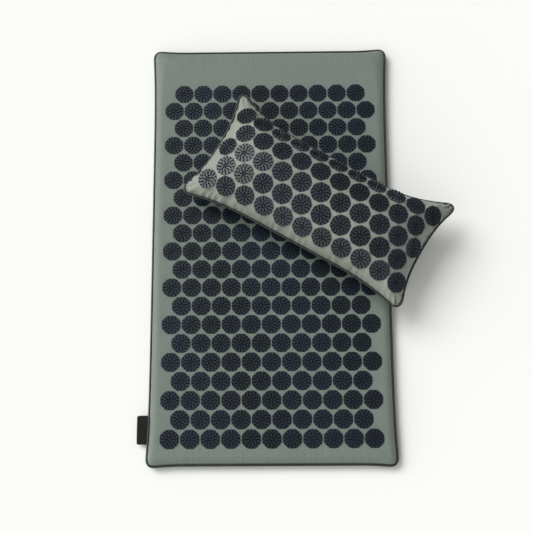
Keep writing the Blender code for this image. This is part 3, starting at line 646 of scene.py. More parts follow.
def seam_gathers(name):
    """Fine ripples square to a seam, as strong as the given weights across and along."""
    tree, start, end = new_group(
        name, [("Vector", 'NodeSocketVector', None), ("Weights", 'NodeSocketVector', None)],
        [("Height", 'NodeSocketFloat')])
    weights = add_node(tree, 'ShaderNodeSeparateXYZ', {0: start.outputs["Weights"]})
    heights = []
    for stretch, weight in (((25.0, 130.0, 0.0), 0), ((130.0, 25.0, 0.0), 1)):
        place = add_node(tree, 'ShaderNodeVectorMath', {0: start.outputs["Vector"], 1: stretch},
                         operation='MULTIPLY').outputs[0]
        waves = calc(tree, 'SUBTRACT', noise_of(tree, place, 1.0, 2.0, 0.6), 0.5)
        heights.append(times(tree, waves, weights.outputs[weight]))
    tree.links.new(calc(tree, 'ADD', *heights), end.inputs["Height"])
    return tree


# Materials


def new_material(name, colour):
    """Material with its node tree and its Principled shader."""
    made = bpy.data.materials.new(name)
    made.use_nodes = True
    made.diffuse_color = (*colour, 1)
    return made, made.node_tree, made.node_tree.nodes["Principled BSDF"]


def scaled(colour, factor, warmth=0.0):
    """A colour made lighter or darker, and warmer if asked."""
    red, green, blue = (part * factor for part in colour)
    return (min(1, red * (1 + warmth)), min(1, green), min(1, blue * (1 - warmth)), 1)


def bump(tree, shader, height, distance, strength=1.0, under=None):
    """Feed a height in metres to the shader's normal, over another bump if given."""
    inputs = {"Height": height, "Distance": distance, "Strength": strength}
    if under is not None:
        inputs["Normal"] = under
    normal = add_node(tree, 'ShaderNodeBump', inputs).outputs[0]
    tree.links.new(normal, shader.inputs["Normal"])
    return normal


def woven_material(name, colour, threads, roughness, contrast, depth, sheen=0.0, specular=0.5,
                   ripples=0.0):
    """Woven cloth whose threads follow the flat cloth, with ripples at the seams if asked."""
    found = bpy.data.materials.get(name)
    if found:
        return found
    made, tree, shader = new_material(name, colour)
    place = attribute_of(tree, "cloth_place", "Vector")
    weave = place_group(tree, plain_weave, vector=place, threads_per_metre=threads)
    mottle = place_group(tree, soft_mottle, vector=place, patches_per_metre=120.0)
    dye = blend_colour(tree, mottle.outputs["Mask"], scaled(colour, 1 - contrast, 0.015),
                       scaled(colour, 1 + contrast, -0.01))
    shade = spread(tree, weave.outputs["Shade"], 0.3, 0.7, 1 - 1.6 * contrast, 1 + 1.6 * contrast)
    # The low parts of the weave, between the threads, are painted darker as painted shade; the rest is
    # each thread's own tone.
    tone = times(tree, shade, spread(tree, weave.outputs["Height"], 0.0, 0.6, 0.82, 1.04))
    thread_tone_and_gap_shade = add_node(tree, 'ShaderNodeCombineColor', {0: tone, 1: tone, 2: tone}).outputs[0]
    tree.links.new(blend_colour(tree, 1.0, dye, thread_tone_and_gap_shade, 'MULTIPLY'), shader.inputs["Base Color"])
    rough = spread(tree, mottle.outputs["Fine"], 0.3, 0.7, roughness - 0.05, roughness + 0.05)
    tree.links.new(rough, shader.inputs["Roughness"])
    shader.inputs["Specular IOR Level"].default_value = specular
    if sheen:
        shader.inputs["Sheen Weight"].default_value = sheen
        shader.inputs["Sheen Roughness"].default_value = 0.5
        shader.inputs["Sheen Tint"].default_value = scaled(colour, 3)
    under = None
    if ripples:
        near = attribute_of(tree, "seam_near", "Vector")
        waves = place_group(tree, seam_gathers, vector=place, weights=near)
        under = bump(tree, shader, waves.outputs["Height"], ripples)
    rumple = bump(tree, shader, mottle.outputs["Fine"], depth * 1.5, 0.5, under)
    bump(tree, shader, weave.outputs["Height"], depth, 1.0, rumple)
    return made


def mat_cotton():
    """Sage cotton of the mat."""
    cloth = bpy.context.scene.acupressure_cloth
    return woven_material("mat_cotton", cloth.colour, threads=1 / cloth.thread_pitch,
                          roughness=0.52, contrast=0.07, depth=0.00006, sheen=0.15, ripples=0.0016)


def pillow_cotton():
    """Sage cotton of the pillow: the mat's cloth with its colour painted lighter, as painted light for
    the stronger light on the pillow.
    """
    cloth = bpy.context.scene.acupressure_cloth
    return woven_material("pillow_cotton", cloth.pillow_painted_light_colour, threads=1 / cloth.thread_pitch,
                          roughness=0.52, contrast=0.07, depth=0.00006, sheen=0.15, ripples=0.0042)


def lining_cotton():
    """Undyed cotton of the inner bag."""
    cloth = bpy.context.scene.acupressure_cloth
    return woven_material("inner_bag_cotton", cloth.lining_colour, threads=1500.0,
                          roughness=0.85, contrast=0.06, depth=0.00008)


def satin_tape():
    """Dark satin of the piping."""
    trim = bpy.context.scene.acupressure_trim
    return woven_material("piping_tape", trim.piping_colour, threads=2600.0, roughness=0.42,
                          contrast=0.12, depth=0.00004)


def zip_tape_cloth():
    """Dark cloth of the zips' tapes."""
    trim = bpy.context.scene.acupressure_trim
    return woven_material("zip_tape_weave", trim.zip_colour, threads=2400.0, roughness=0.7,
                          contrast=0.15, depth=0.00005)


def label_ribbon():
    """Dull dark ribbon of the side label."""
    trim = bpy.context.scene.acupressure_trim
    return woven_material("label_ribbon_weave", trim.label_colour, threads=3000.0, roughness=0.75,
                          contrast=0.15, depth=0.00004, specular=0.2)


def hard_material(name, colour, roughness, metallic=0.0, grains=3000.0, tone=None, specular=0.5):
    """Moulded or plated surface with fine grain, faint scuffs and a tone for each piece."""
    found = bpy.data.materials.get(name)
    if found:
        return found
    made, tree, shader = new_material(name, colour)
    grain = place_group(tree, moulded_grain, vector=object_place(tree), grains_per_metre=grains)
    base = blend_colour(tree, grain.outputs["Scuff"], scaled(colour, 0.92), scaled(colour, 1.18))
    if tone:
        base = blend_colour(tree, attribute_of(tree, tone, "Fac"), base, scaled(colour, 1.6))
    tree.links.new(base, shader.inputs["Base Color"])
    rough = spread(tree, grain.outputs["Scuff"], 0.0, 1.0, roughness - 0.04, roughness + 0.06)
    tree.links.new(rough, shader.inputs["Roughness"])
    shader.inputs["Metallic"].default_value = metallic
    shader.inputs["Specular IOR Level"].default_value = specular
    bump(tree, shader, grain.outputs["Height"], 0.00001, 0.6)
    return made


def disc_plastic(body):
    """Dark moulded plastic of the discs on a body; the pillow's copy is painted lighter, as painted
    light.
    """
    discs = bpy.context.scene.acupressure_discs
    colour = discs.colour if body == "mat" else discs.pillow_painted_light_colour
    return hard_material(f"{body}_disc_plastic", colour, roughness=0.36, tone="disc_tone")


def shaded_point_plastic():
    """Duller copy of the disc plastic on the points and in the hub's groove, its darker colour painted
    shade.
    """
    discs = bpy.context.scene.acupressure_discs
    return hard_material("shaded_point_plastic", discs.point_painted_shade_colour, roughness=0.50, tone="disc_tone",
                         specular=0.15)


def coil_nylon():
    """Nylon of the zips' coils."""
    trim = bpy.context.scene.acupressure_trim
    return hard_material("coil_nylon", trim.zip_colour, roughness=0.4, grains=6000.0)


def slider_metal():
    """Plated metal of the sliders, pulls and stops."""
    trim = bpy.context.scene.acupressure_trim
    return hard_material("slider_metal", trim.metal_colour, roughness=0.32, metallic=1.0,
                         grains=5000.0)


def crumb_material(name, colour, cells, depth):
    """Open foam or loose filling: rounded cells, the gaps between them painted darker as painted
    shade.
    """
    made, tree, shader = new_material(name, colour)
    place = object_place(tree)
    cell = add_node(tree, 'ShaderNodeTexVoronoi', {"Vector": place, "Scale": cells}).outputs[0]
    mottle = place_group(tree, soft_mottle, vector=place, patches_per_metre=150.0)
    # Cell edges and the gaps between cells are painted darker, as painted shade.
    base = blend_colour(tree, cell, scaled(colour, 1.05), scaled(colour, 0.6))
    base = blend_colour(tree, times(tree, mottle.outputs["Mask"], 0.3), base,
                        scaled(colour, 0.85, 0.03))
    tree.links.new(base, shader.inputs["Base Color"])
    shader.inputs["Roughness"].default_value = 0.95
    bump(tree, shader, calc(tree, 'SUBTRACT', 1.0, cell), depth)
    return made


# Mat cover


def mat_lines(half, pitch, stops=()):
    """Lines of the mat's grid across one direction, closer together over the rounded edge."""
    level = half - TOP_EDGE_RUN
    steps = round(level / pitch)
    lines = [level * step / steps for step in range(1, steps + 1)]
    for step in range(1, TOP_EDGE_STEPS + 1):
        lines.append(level + TOP_EDGE_RUN * math.sin(math.pi / 2 * step / TOP_EDGE_STEPS))
    for stop in stops:
        nearest = min(range(len(lines)), key=lambda index: abs(lines[index] - stop))
        lines[nearest] = stop
    return np.array([-line for line in reversed(lines)] + [0.0] + lines)


def mat_grid(pitch, stops=()):
    """Grid of the mat before its corners are rounded, some lines across put at the stops."""
    return np.meshgrid(mat_lines(MAT_HALF_WIDTH, pitch, stops),
                       mat_lines(MAT_HALF_LENGTH, pitch), indexing="ij")


def rounded_plan(x, y, half_x, half_y, run, corner):
    """Plan of a rectangle's grid, its corners rounded more and more over the outer run."""
    a = np.maximum(0, np.abs(x) - (half_x - run))
    b = np.maximum(0, np.abs(y) - (half_y - run))
    ring = np.maximum(a, b)
    radius = corner * ring / run
    centre = ring - radius
    past = np.clip(np.minimum(a, b) - centre, 0, None)
    angle = np.where(radius > 0, past / np.maximum(radius, TINY), 0) * math.pi / 4
    bent = (a > 0) & (b > 0) & (past > 0)
    far = centre + radius * np.cos(angle)
    near = centre + radius * np.sin(angle)
    new_a = np.where(bent, np.where(a >= b, far, near), a)
    new_b = np.where(bent, np.where(a >= b, near, far), b)
    new_x = np.sign(x) * (np.minimum(np.abs(x), half_x - run) + new_a)
    new_y = np.sign(y) * (np.minimum(np.abs(y), half_y - run) + new_b)
    return new_x, new_y


def mat_plan(x, y):
    """Plan of the mat's grid with its corners rounded and its edges drawn in."""
    new_x, new_y = rounded_plan(x, y, MAT_HALF_WIDTH, MAT_HALF_LENGTH, TOP_EDGE_RUN,
                                MAT_CORNER_RADIUS)
    share_x, share_y = np.abs(x) / MAT_HALF_WIDTH, np.abs(y) / MAT_HALF_LENGTH
    bend = np.clip((share_x - MAT_STRAIGHT_END_SHARE) / (1 - MAT_STRAIGHT_END_SHARE), 0, 1)
    new_x *= 1 - MAT_SIDE_DRAW_IN * (1 - share_y ** MAT_SIDE_ROUNDNESS) / MAT_HALF_WIDTH
    new_y *= 1 - MAT_END_DRAW_IN * (1 - bend ** 2) / MAT_HALF_LENGTH
    return new_x, new_y


def mat_disc_centres():
    """Row by row from the foot end, the centres of the mat's discs."""
    rows = []
    for row in range(MAT_ROWS):
        count = MAT_LONG_ROW - row % 2
        y = MAT_FIRST_ROW_Y + row * DISC_ROW_SPACING
        rows.append([((column - (count - 1) / 2) * DISC_PITCH_ALONG_ROW, y)
                     for column in range(count)])
    return rows


def build_mat_upper():
    """Upper panel: a level top with a rounded edge, and fine gathers at the seam."""
    x, y = mat_grid(MAT_CLOTH_PITCH)
    plan_x, plan_y = mat_plan(x, y)
    side_gap = MAT_HALF_WIDTH - np.abs(x)
    end_gap = MAT_HALF_LENGTH - np.abs(y)
    edge = np.maximum(np.minimum(side_gap, end_gap), 0)
    low = SEAM_HEIGHT + FIT_GAP / 2
    drop = 1 - np.clip(edge / TOP_EDGE_RUN, 0, 1)
    rise = np.clip(1 - drop ** TOP_EDGE_SQUARENESS, 0, 1) ** (1 / TOP_EDGE_SQUARENESS)
    points = np.stack([plan_x, plan_y, low + (MAT_TOP - low) * rise], -1)
    to_disc = np.full(x.shape, 1.0)
    for disc_x, disc_y in (centre for row in mat_disc_centres() for centre in row):
        to_disc = np.minimum(to_disc, np.hypot(plan_x - disc_x, plan_y - disc_y))
    item = add_piece("mat_cover_upper", points, grid_faces(*x.shape), mat_cotton(), "mat")
    store_vectors(item, "cloth_place", x * MAT_CLOTH_STRETCH, y * MAT_CLOTH_STRETCH)
    store_vectors(item, "seam_near", np.exp(-side_gap / MAT_SIDE_RIPPLE_REACH),
                  np.exp(-end_gap / MAT_END_RIPPLE_REACH))
    swell(item, to_disc < MAT_SEAT_RADIUS, edge, **MAT_SWELL)
    lift = MAT_END_GATHER_HEIGHT * gathers(x, end_gap, width=0.0021, reach=0.030, seed=1.0)
    lift += MAT_SIDE_GATHER_HEIGHT * gathers(y, side_gap, width=0.0026, reach=0.012, seed=2.0)
    lift *= (1 - np.exp(-edge / MAT_GATHER_ONSET)) * (to_disc >= MAT_CALM_RADIUS)
    move_points(item, (normals_of(points) * lift[..., None]).reshape(-1, 3))
    thicken(item, COVER_THICKNESS, -1, 1)
    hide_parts("mat_top_panel")


def build_mat_lower():
    """Underside, bottom edge and wall in one grid, with the zip's slot left open."""
    slot_low = (SEAM_HEIGHT + BOTTOM_EDGE_RADIUS - ZIP_SLOT_WIDTH) / 2
    slot_high = slot_low + ZIP_SLOT_WIDTH
    x, y = mat_grid(MAT_UNDER_PITCH, (MAT_ZIP_HALF,))
    plan_x, plan_y = mat_plan(x, y)
    floor = np.column_stack([(plan_x * (1 - BOTTOM_EDGE_RADIUS / MAT_HALF_WIDTH)).ravel(),
                             (plan_y * (1 - BOTTOM_EDGE_RADIUS / MAT_HALF_LENGTH)).ravel(),
                             np.zeros(x.size)])
    loop = border_of(*x.shape)
    count = len(loop)
    inner = floor[loop][:, :2]
    rim = np.column_stack([plan_x.ravel(), plan_y.ravel()])[loop]
    levels = []
    for step in range(1, BOTTOM_EDGE_STEPS + 1):
        angle = math.pi / 2 * step / BOTTOM_EDGE_STEPS
        levels.append((inner + (rim - inner) * math.sin(angle),
                       BOTTOM_EDGE_RADIUS * (1 - math.cos(angle))))
    for height in (slot_low, (slot_low + slot_high) / 2, slot_high, SEAM_HEIGHT - FIT_GAP / 2):
        levels.append((rim, height))
    flat = np.column_stack([x.ravel(), y.ravel()])
    cloth_places = [flat]
    points = [floor]
    faces = grid_faces(*x.shape, up=False)
    below = loop
    for number, (plan, height) in enumerate(levels):
        start = x.size + number * count
        ring = range(start, start + count)
        for index in range(count):
            after = (index + 1) % count
            middle = (rim[index] + rim[after]) / 2
            at_zip = middle[1] > 0 and abs(middle[0]) < MAT_ZIP_HALF
            if at_zip and slot_low < height <= slot_high:
                continue
            faces.append((below[index], below[after], ring[after], ring[index]))
        points.append(np.column_stack([plan, np.full(count, height)]))
        cloth_places.append(flat[loop] + unit(flat[loop]) * (height + BOTTOM_EDGE_RADIUS))
        below = ring
    item = add_piece("mat_cover_lower", np.vstack(points), faces, mat_cotton(), "mat")
    store_vectors(item, "cloth_place", *np.vstack(cloth_places).T)
    thicken(item, COVER_THICKNESS, -1)
    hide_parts("mat_bottom_panel")


# Pillow


def pillow_place():
    """Frame of the pillow, its origin at the height of its seam."""
    turn = Matrix.Rotation(math.radians(PILLOW_TURN_DEGREES), 4, 'Z')
    return Matrix.Translation((*PILLOW_CENTRE, PILLOW_SEAM_Z)) @ turn


def placed(points, place):
    """Points moved by a frame."""
    matrix = np.array(place)
    return np.asarray(points) @ matrix[:3, :3].T + matrix[:3, 3]


def past_level(share):
    """How far a share lies past the level middle of the pillow, from 0 to 1."""
    return np.clip((np.abs(share) - PILLOW_LEVEL_SHARE) / (1 - PILLOW_LEVEL_SHARE), 0, 1)


def pillow_skin(u, v, side=1, inset=0.0, rise_inset=0.0):
    """Points of the pillow's skin in its own frame, for shares from -1 to 1."""
    u, v = np.broadcast_arrays(np.asarray(u, float), np.asarray(v, float))
    flat_x, flat_y = rounded_plan(u * PILLOW_HALF_LENGTH, v * PILLOW_HALF_WIDTH,
                                  PILLOW_HALF_LENGTH, PILLOW_HALF_WIDTH,
                                  PILLOW_CORNER_RUN, PILLOW_CORNER_RADIUS)
    share_x, share_y = flat_x / PILLOW_HALF_LENGTH, flat_y / PILLOW_HALF_WIDTH
    end_draw_in = PILLOW_END_DRAW_IN * (1 - np.abs(share_y) ** PILLOW_ROUNDNESS_OF_ENDS)
    side_draw_in = np.where(v > 0, PILLOW_FAR_DRAW_IN, PILLOW_NEAR_DRAW_IN)
    side_draw_in = side_draw_in * (1 - past_level(share_x) ** 2)
    x = share_x * (PILLOW_HALF_LENGTH - inset - end_draw_in)
    y = share_y * (PILLOW_HALF_WIDTH - inset - side_draw_in)
    ear = PILLOW_EAR_PULL * (np.abs(share_x) * np.abs(share_y)) ** PILLOW_EAR_SHARPNESS
    x = x + np.sign(x) * ear
    y = y + np.sign(y) * ear
    swelling = (1 - past_level(u) ** 2) * (1 - np.abs(v) ** PILLOW_ROUNDNESS)
    share = np.sqrt(np.clip(swelling, 0, 1))
    if side > 0:
        z = (PILLOW_CROWN - rise_inset) * share
    else:
        depth = (PILLOW_UNDER_BULGE - rise_inset) * share
        z = -np.minimum(PILLOW_SEAM_HEIGHT - rise_inset, depth)
    return np.stack([x, y, z], -1)


def even_shares(point_at, pitch):
    """Shares from -1 to 1 about one pitch apart along the skin, and their distances."""
    fine = np.linspace(0, 1, SKIN_SAMPLES)
    shares, distances = [], []
    for way in (-1, 1):
        table = lengths_along(point_at(way * fine))
        steps = max(2, round(table[-1] / pitch))
        distance = np.linspace(0, table[-1], steps + 1)
        shares.append(way * np.interp(distance, table, fine))
        distances.append(way * distance)
    return (np.concatenate([shares[0][:0:-1], shares[1]]),
            np.concatenate([distances[0][:0:-1], distances[1]]))


def skin_grid(side, pitch):
    """Shares of a grid over one side of the skin, and its lengths along and across."""
    u, along = even_shares(lambda share: pillow_skin(share, 0, side), pitch)
    v, across = even_shares(lambda share: pillow_skin(0, share, side), pitch)
    return (*np.meshgrid(u, v, indexing="ij"), *np.meshgrid(along, across, indexing="ij"))


def share_at(point_at, distance):
    """Share at which a line of the skin reaches a distance from the middle."""
    fine = np.linspace(0, 1, SKIN_SAMPLES) * math.copysign(1, distance)
    return float(np.interp(abs(distance), lengths_along(point_at(fine)), fine))


def shares_of(along, across):
    """Shares of the point that lies these lengths along and across the cloth."""
    u = v = 0.0
    for _ in range(PILLOW_PLACING_ROUNDS):
        v = share_at(lambda share: pillow_skin(u, share), across)
        u = share_at(lambda share: pillow_skin(share, v), along)
    return u, v


def skin_frame(u, v, sag, step=0.01):
    """Frame on the upper skin: X along the pillow, Z out of the cloth."""
    along = Vector(pillow_skin(min(u + step, 1), v)) - Vector(pillow_skin(max(u - step, -1), v))
    across = Vector(pillow_skin(u, min(v + step, 1))) - Vector(pillow_skin(u, max(v - step, -1)))
    normal = along.cross(across).normalized()
    along.normalize()
    rotation = Matrix((along, normal.cross(along), normal)).transposed().to_4x4()
    return Matrix.Translation(Vector(pillow_skin(u, v)) - normal * sag) @ rotation


def pillow_disc_rows():
    """Row by row from the near side, the frames of the pillow's discs in its own frame."""
    crown_radius = PILLOW_HALF_WIDTH ** 2 / PILLOW_CROWN / 2 + PILLOW_CROWN / 2
    disc_radius = DISC_WIDTH / 2 / math.cos(math.pi / DISC_SIDES)
    sag = disc_radius ** 2 / crown_radius / 4
    rows = []
    for row in range(PILLOW_ROWS):
        count = PILLOW_LONG_ROW - row % 2
        across = (row - (PILLOW_ROWS - 1) / 2) * PILLOW_ROW_SPACING + PILLOW_ROW_SHIFT
        frames = []
        for column in range(count):
            along = (column - (count - 1) / 2) * PILLOW_DISC_PITCH + PILLOW_COLUMN_SHIFT
            frames.append(skin_frame(*shares_of(along, across), sag))
        rows.append(frames)
    return rows


def bed_discs(points):
    """Points of the upper skin laid level under the discs, and how far each is from a disc."""
    to_disc = np.full(points.shape[:-1], 1.0)
    for spot in (spot for row in pillow_disc_rows() for spot in row):
        away = placed(points, spot.inverted())
        radius = np.hypot(away[..., 0], away[..., 1])
        close = np.abs(away[..., 2]) < PILLOW_BED_REACH
        weight = np.clip((PILLOW_BED_RADIUS - radius) / PILLOW_BED_EASE, 0, 1) * close
        points = points - (away[..., 2] * weight)[..., None] * np.array(spot.col[2][:3])
        to_disc = np.where(close, np.minimum(to_disc, radius), to_disc)
    return points, to_disc


def pillow_lift(along, across, edge_along, edge_across):
    """Gathers square to the seam of a pillow panel, highest just inside it."""
    ends = gathers(across, edge_along, width=0.0021, reach=0.012, seed=4.0)
    sides = gathers(along, edge_across, width=0.0023, reach=0.014, seed=5.0)
    sides *= 1 + 1.2 * np.exp(-((edge_along - 0.035) / 0.025) ** 2)
    edge = np.minimum(edge_along, edge_across)
    soft = 0.35 * np.sin(along / 0.021 + 1.3 * np.sin(across / 0.031)) * np.exp(-edge / 0.03)
    height = bpy.context.scene.acupressure_cloth.pucker_height
    return height * (ends + sides + soft) * (1 - np.exp(-edge / PILLOW_GATHER_ONSET))


def build_pillow_panel(side):
    """Upper panel bedded under its discs, or lower panel with its level rest and zip slot."""
    word = "upper" if side > 0 else "lower"
    u, v, along, across = skin_grid(side, PILLOW_CLOTH_PITCH if side > 0 else PILLOW_UNDER_PITCH)
    points = pillow_skin(u, v, side)
    points[..., 2] += side * FIT_GAP / 2
    outward = normals_of(points) * side
    edge_along = np.minimum(along.max() - along, along - along.min())
    edge_across = np.minimum(across.max() - across, across - across.min())
    edge = np.minimum(edge_along, edge_across)
    lift = pillow_lift(along, across, edge_along, edge_across)
    if side > 0:
        points, to_disc = bed_discs(points)
        held = to_disc < PILLOW_SEAT_RADIUS
        lift = lift * np.clip((to_disc - PILLOW_CALM_RADIUS) / PILLOW_BED_EASE, 0, 1)
    else:
        held = points[..., 2] <= PILLOW_REST_MARGIN - PILLOW_SEAM_HEIGHT
        lift = np.where(held, 0, lift)
    item = add_piece(f"pillow_cover_{word}", placed(points, pillow_place()),
                     grid_faces(*u.shape, up=side > 0), pillow_cotton(), "pillow")
    store_vectors(item, "cloth_place", along, across)
    store_vectors(item, "seam_near", np.exp(-edge_along / PILLOW_RIPPLE_REACH),
                  np.exp(-edge_across / PILLOW_RIPPLE_REACH))
    swell(item, held, edge, **PILLOW_SWELL)
    turned = outward @ np.array(pillow_place())[:3, :3].T
    move_points(item, (turned * lift[..., None]).reshape(-1, 3))
    if side < 0:
        open_zip_slot(item)
    thicken(item, PILLOW_CLOTH_THICKNESS, -1, 1 if side > 0 else 0)
    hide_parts("pillow_top_panel" if side > 0 else "pillow_bottom_panel")


def open_zip_slot(item):
    """Cut the slot of the pillow's zip through the lower panel."""
    reaches = (PILLOW_ZIP_HALF, ZIP_SLOT_WIDTH / 2, ZIP_SLOT_HALF_DEPTH)
    corners = np.array([(x, y, z) for x in (-1, 1) for y in (-1, 1) for z in (-1, 1)]) * reaches
    faces = [(0, 1, 3, 2), (4, 6, 7, 5), (0, 4, 5, 1), (2, 3, 7, 6), (0, 2, 6, 4), (1, 5, 7, 3)]
    mesh = bpy.data.meshes.new("slot")
    mesh.from_pydata(placed(corners, zip_place("pillow")).tolist(), [], faces)
    tool = add_object("slot", mesh)
    cut = item.modifiers.new("slot", 'BOOLEAN')
    cut.operation = 'DIFFERENCE'
    cut.solver = 'EXACT'
    cut.use_hole_tolerant = True
    cut.object = tool
    shown = item.evaluated_get(bpy.context.evaluated_depsgraph_get())
    made = bpy.data.meshes.new_from_object(shown)
    item.modifiers.remove(cut)
    item.data = made
    bpy.data.objects.remove(tool)


# Discs


def disc_outline(half, corner):
    """Eight-sided outline with eased corners, half its width across the flats."""
    radius = half / math.cos(math.pi / DISC_SIDES)
    ease = corner * 2 * radius * math.sin(math.pi / DISC_SIDES)
    points = []
    for index in range(DISC_SIDES):
        angle = 2 * math.pi * (index + 0.5) / DISC_SIDES
        tip = radius * np.array((math.cos(angle), math.sin(angle)))
        for way in (-1, 0, 1):
            turned = angle + way * math.pi / DISC_SIDES
            along = np.array((-math.sin(turned), math.cos(turned)))
            drawn_in = tip * (1 - DISC_CORNER_EASE * ease / radius)
            points.append(tip + along * way * ease if way else drawn_in)
    return np.array(points)


def disc_template(height, plate):
    """Points and faces of one disc, and which faces, its points and the groove round its hub, take the
    darker plastic as painted shade.
    """
    half = DISC_WIDTH / 2
    outline = disc_outline(half, DISC_CORNER_SHARE)
    count = len(outline)
    levels = [(outline, -DISC_ROOT_DEPTH), (outline, plate - DISC_RIM_EASE),
              (outline * (1 - DISC_RIM_EASE / half), plate)]
    levels += [(unit(outline) * radius, plate + rise) for radius, rise in HUB_PROFILE]
    points = [np.column_stack([plan, np.full(count, level)]) for plan, level in levels]
    faces = []
    for band in range(len(levels) - 1):
        faces += band_faces(band * count, (band + 1) * count, count)
    total = len(levels) * count
    faces.append(tuple(range(total - count, total)))
    faces.append(tuple(range(count - 1, -1, -1)))
    # The hub's groove, and below the points, take the darker plastic as painted shade.
    dark = [index // count in HUB_GROOVE_BANDS for index in range(len(faces))]
    foot = plate - SPIKE_ROOT_DEPTH
    ways = 2 * math.pi * np.arange(SPIKE_SIDES) / SPIKE_SIDES
    long_way = SPIKE_HALF_LENGTH * np.cos(ways)[:, None]
    wide_way = SPIKE_HALF_WIDTH * np.sin(ways)[:, None] / math.sin(math.pi / 3)
    for (number, radius), turn in zip(SPIKE_RINGS, SPIKE_RING_TURNS):
        for spike in range(number):
            angle = 2 * math.pi * (spike + turn) / number
            out = np.array([math.cos(angle), math.sin(angle)])
            aside = np.array([-out[1], out[0]])
            for share, size in SPIKE_PROFILE:
                plan = out * (radius + size * long_way) + aside * (size * wide_way)
                level = np.full(SPIKE_SIDES, foot + (height - foot) * share)
                points.append(np.column_stack([plan, level]))
                if share:
                    faces += band_faces(total - SPIKE_SIDES, total, SPIKE_SIDES)
                total += SPIKE_SIDES
            faces.append(tuple(range(total - SPIKE_SIDES, total)))
    dark += [True] * (len(faces) - len(dark))
    return np.vstack(points), faces, dark


def add_disc_row(name, frames, body, seed):
    """One row of discs, each turned by eighths and a little lighter or darker."""
    discs = bpy.context.scene.acupressure_discs
    template, template_faces, dark = disc_template(discs.height, discs.plate)
    scale = PILLOW_DISC_SCALE if body == "pillow" else 1
    points, faces, tones = [], [], []
    for number, matrix in enumerate(frames):
        eighth = (seed * 5 + number * 3) % DISC_SIDES
        turn = Matrix.Rotation(2 * math.pi * eighth / DISC_SIDES, 4, 'Z')
        start = number * len(template)
        points.append(placed(template, matrix @ turn @ Matrix.Diagonal((scale, scale, 1, 1))))
        faces += [tuple(index + start for index in face) for face in template_faces]
        tones += [0.5 + 0.5 * math.sin(seed * 12.9 + number * 7.3)] * len(template)
    item = add_piece(name, np.vstack(points), faces, disc_plastic(body), body)
    item.data.materials.append(shaded_point_plastic())
    # Points and the hub's groove get the darker plastic, as painted shade.
    item.data.polygons.foreach_set("material_index", [int(face) for face in dark] * len(frames))
    item.data.set_sharp_from_angle(angle=math.radians(35))
    tone = item.data.attributes.new("disc_tone", 'FLOAT', 'POINT')
    tone.data.foreach_set("value", tones)


# Piping


def even_loop(points, pitch):
    """Closed line of points about a pitch apart."""
    closed = np.vstack([points, points[:1]])
    table = lengths_along(closed)
    distance = np.linspace(0, table[-1], round(table[-1] / pitch), endpoint=False)
    return np.stack([np.interp(distance, table, closed[:, axis]) for axis in range(3)], 1)


def eased_loop(points, rounds):
    """Closed line smoothed by averaging each point with its neighbours."""
    for _ in range(rounds):
        points = (np.roll(points, 1, 0) + 2 * points + np.roll(points, -1, 0)) / 4
    return points


def add_piping(name, seam, body, replaced):
    """Round cord just outside a seam, its cloth cut on the bias."""
    line = even_loop(seam + PIPING_OFFSET * outwards(seam), PIPING_PITCH)
    line = eased_loop(line, PIPING_EASING_ROUNDS)
    rings, faces = tube(line, outwards(line), UP, PIPING_RADIUS, PIPING_SIDES, closed=True)
    item = add_piece(name, rings, faces, satin_tape(), body)
    along = np.linspace(0, PIPING_PITCH * len(line), len(line), endpoint=False)
    around = np.linspace(0, 2 * math.pi * PIPING_RADIUS, PIPING_SIDES, endpoint=False)
    along, around = np.meshgrid(along, around, indexing="ij")
    store_vectors(item, "cloth_place", (along + around) * math.sqrt(0.5),
                  (along - around) * math.sqrt(0.5))
    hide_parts(replaced)


def mat_seam():
    """Closed line of the mat's seam."""
    x, y = mat_grid(MAT_CLOTH_PITCH)
    plan_x, plan_y = mat_plan(x, y)
    points = np.column_stack([plan_x.ravel(), plan_y.ravel(), np.full(x.size, SEAM_HEIGHT)])
    return points[border_of(*x.shape)]


def pillow_seam():
    """Closed line of the pillow's seam."""
    shares = np.sin(np.linspace(-math.pi / 2, math.pi / 2, SEAM_SAMPLES))[:-1]
    border = [(u, -1.0) for u in shares] + [(1.0, v) for v in shares]
    border += [(-u, 1.0) for u in shares] + [(-1.0, -v) for v in shares]
    return placed(pillow_skin(*np.array(border).T), pillow_place())


# Side label


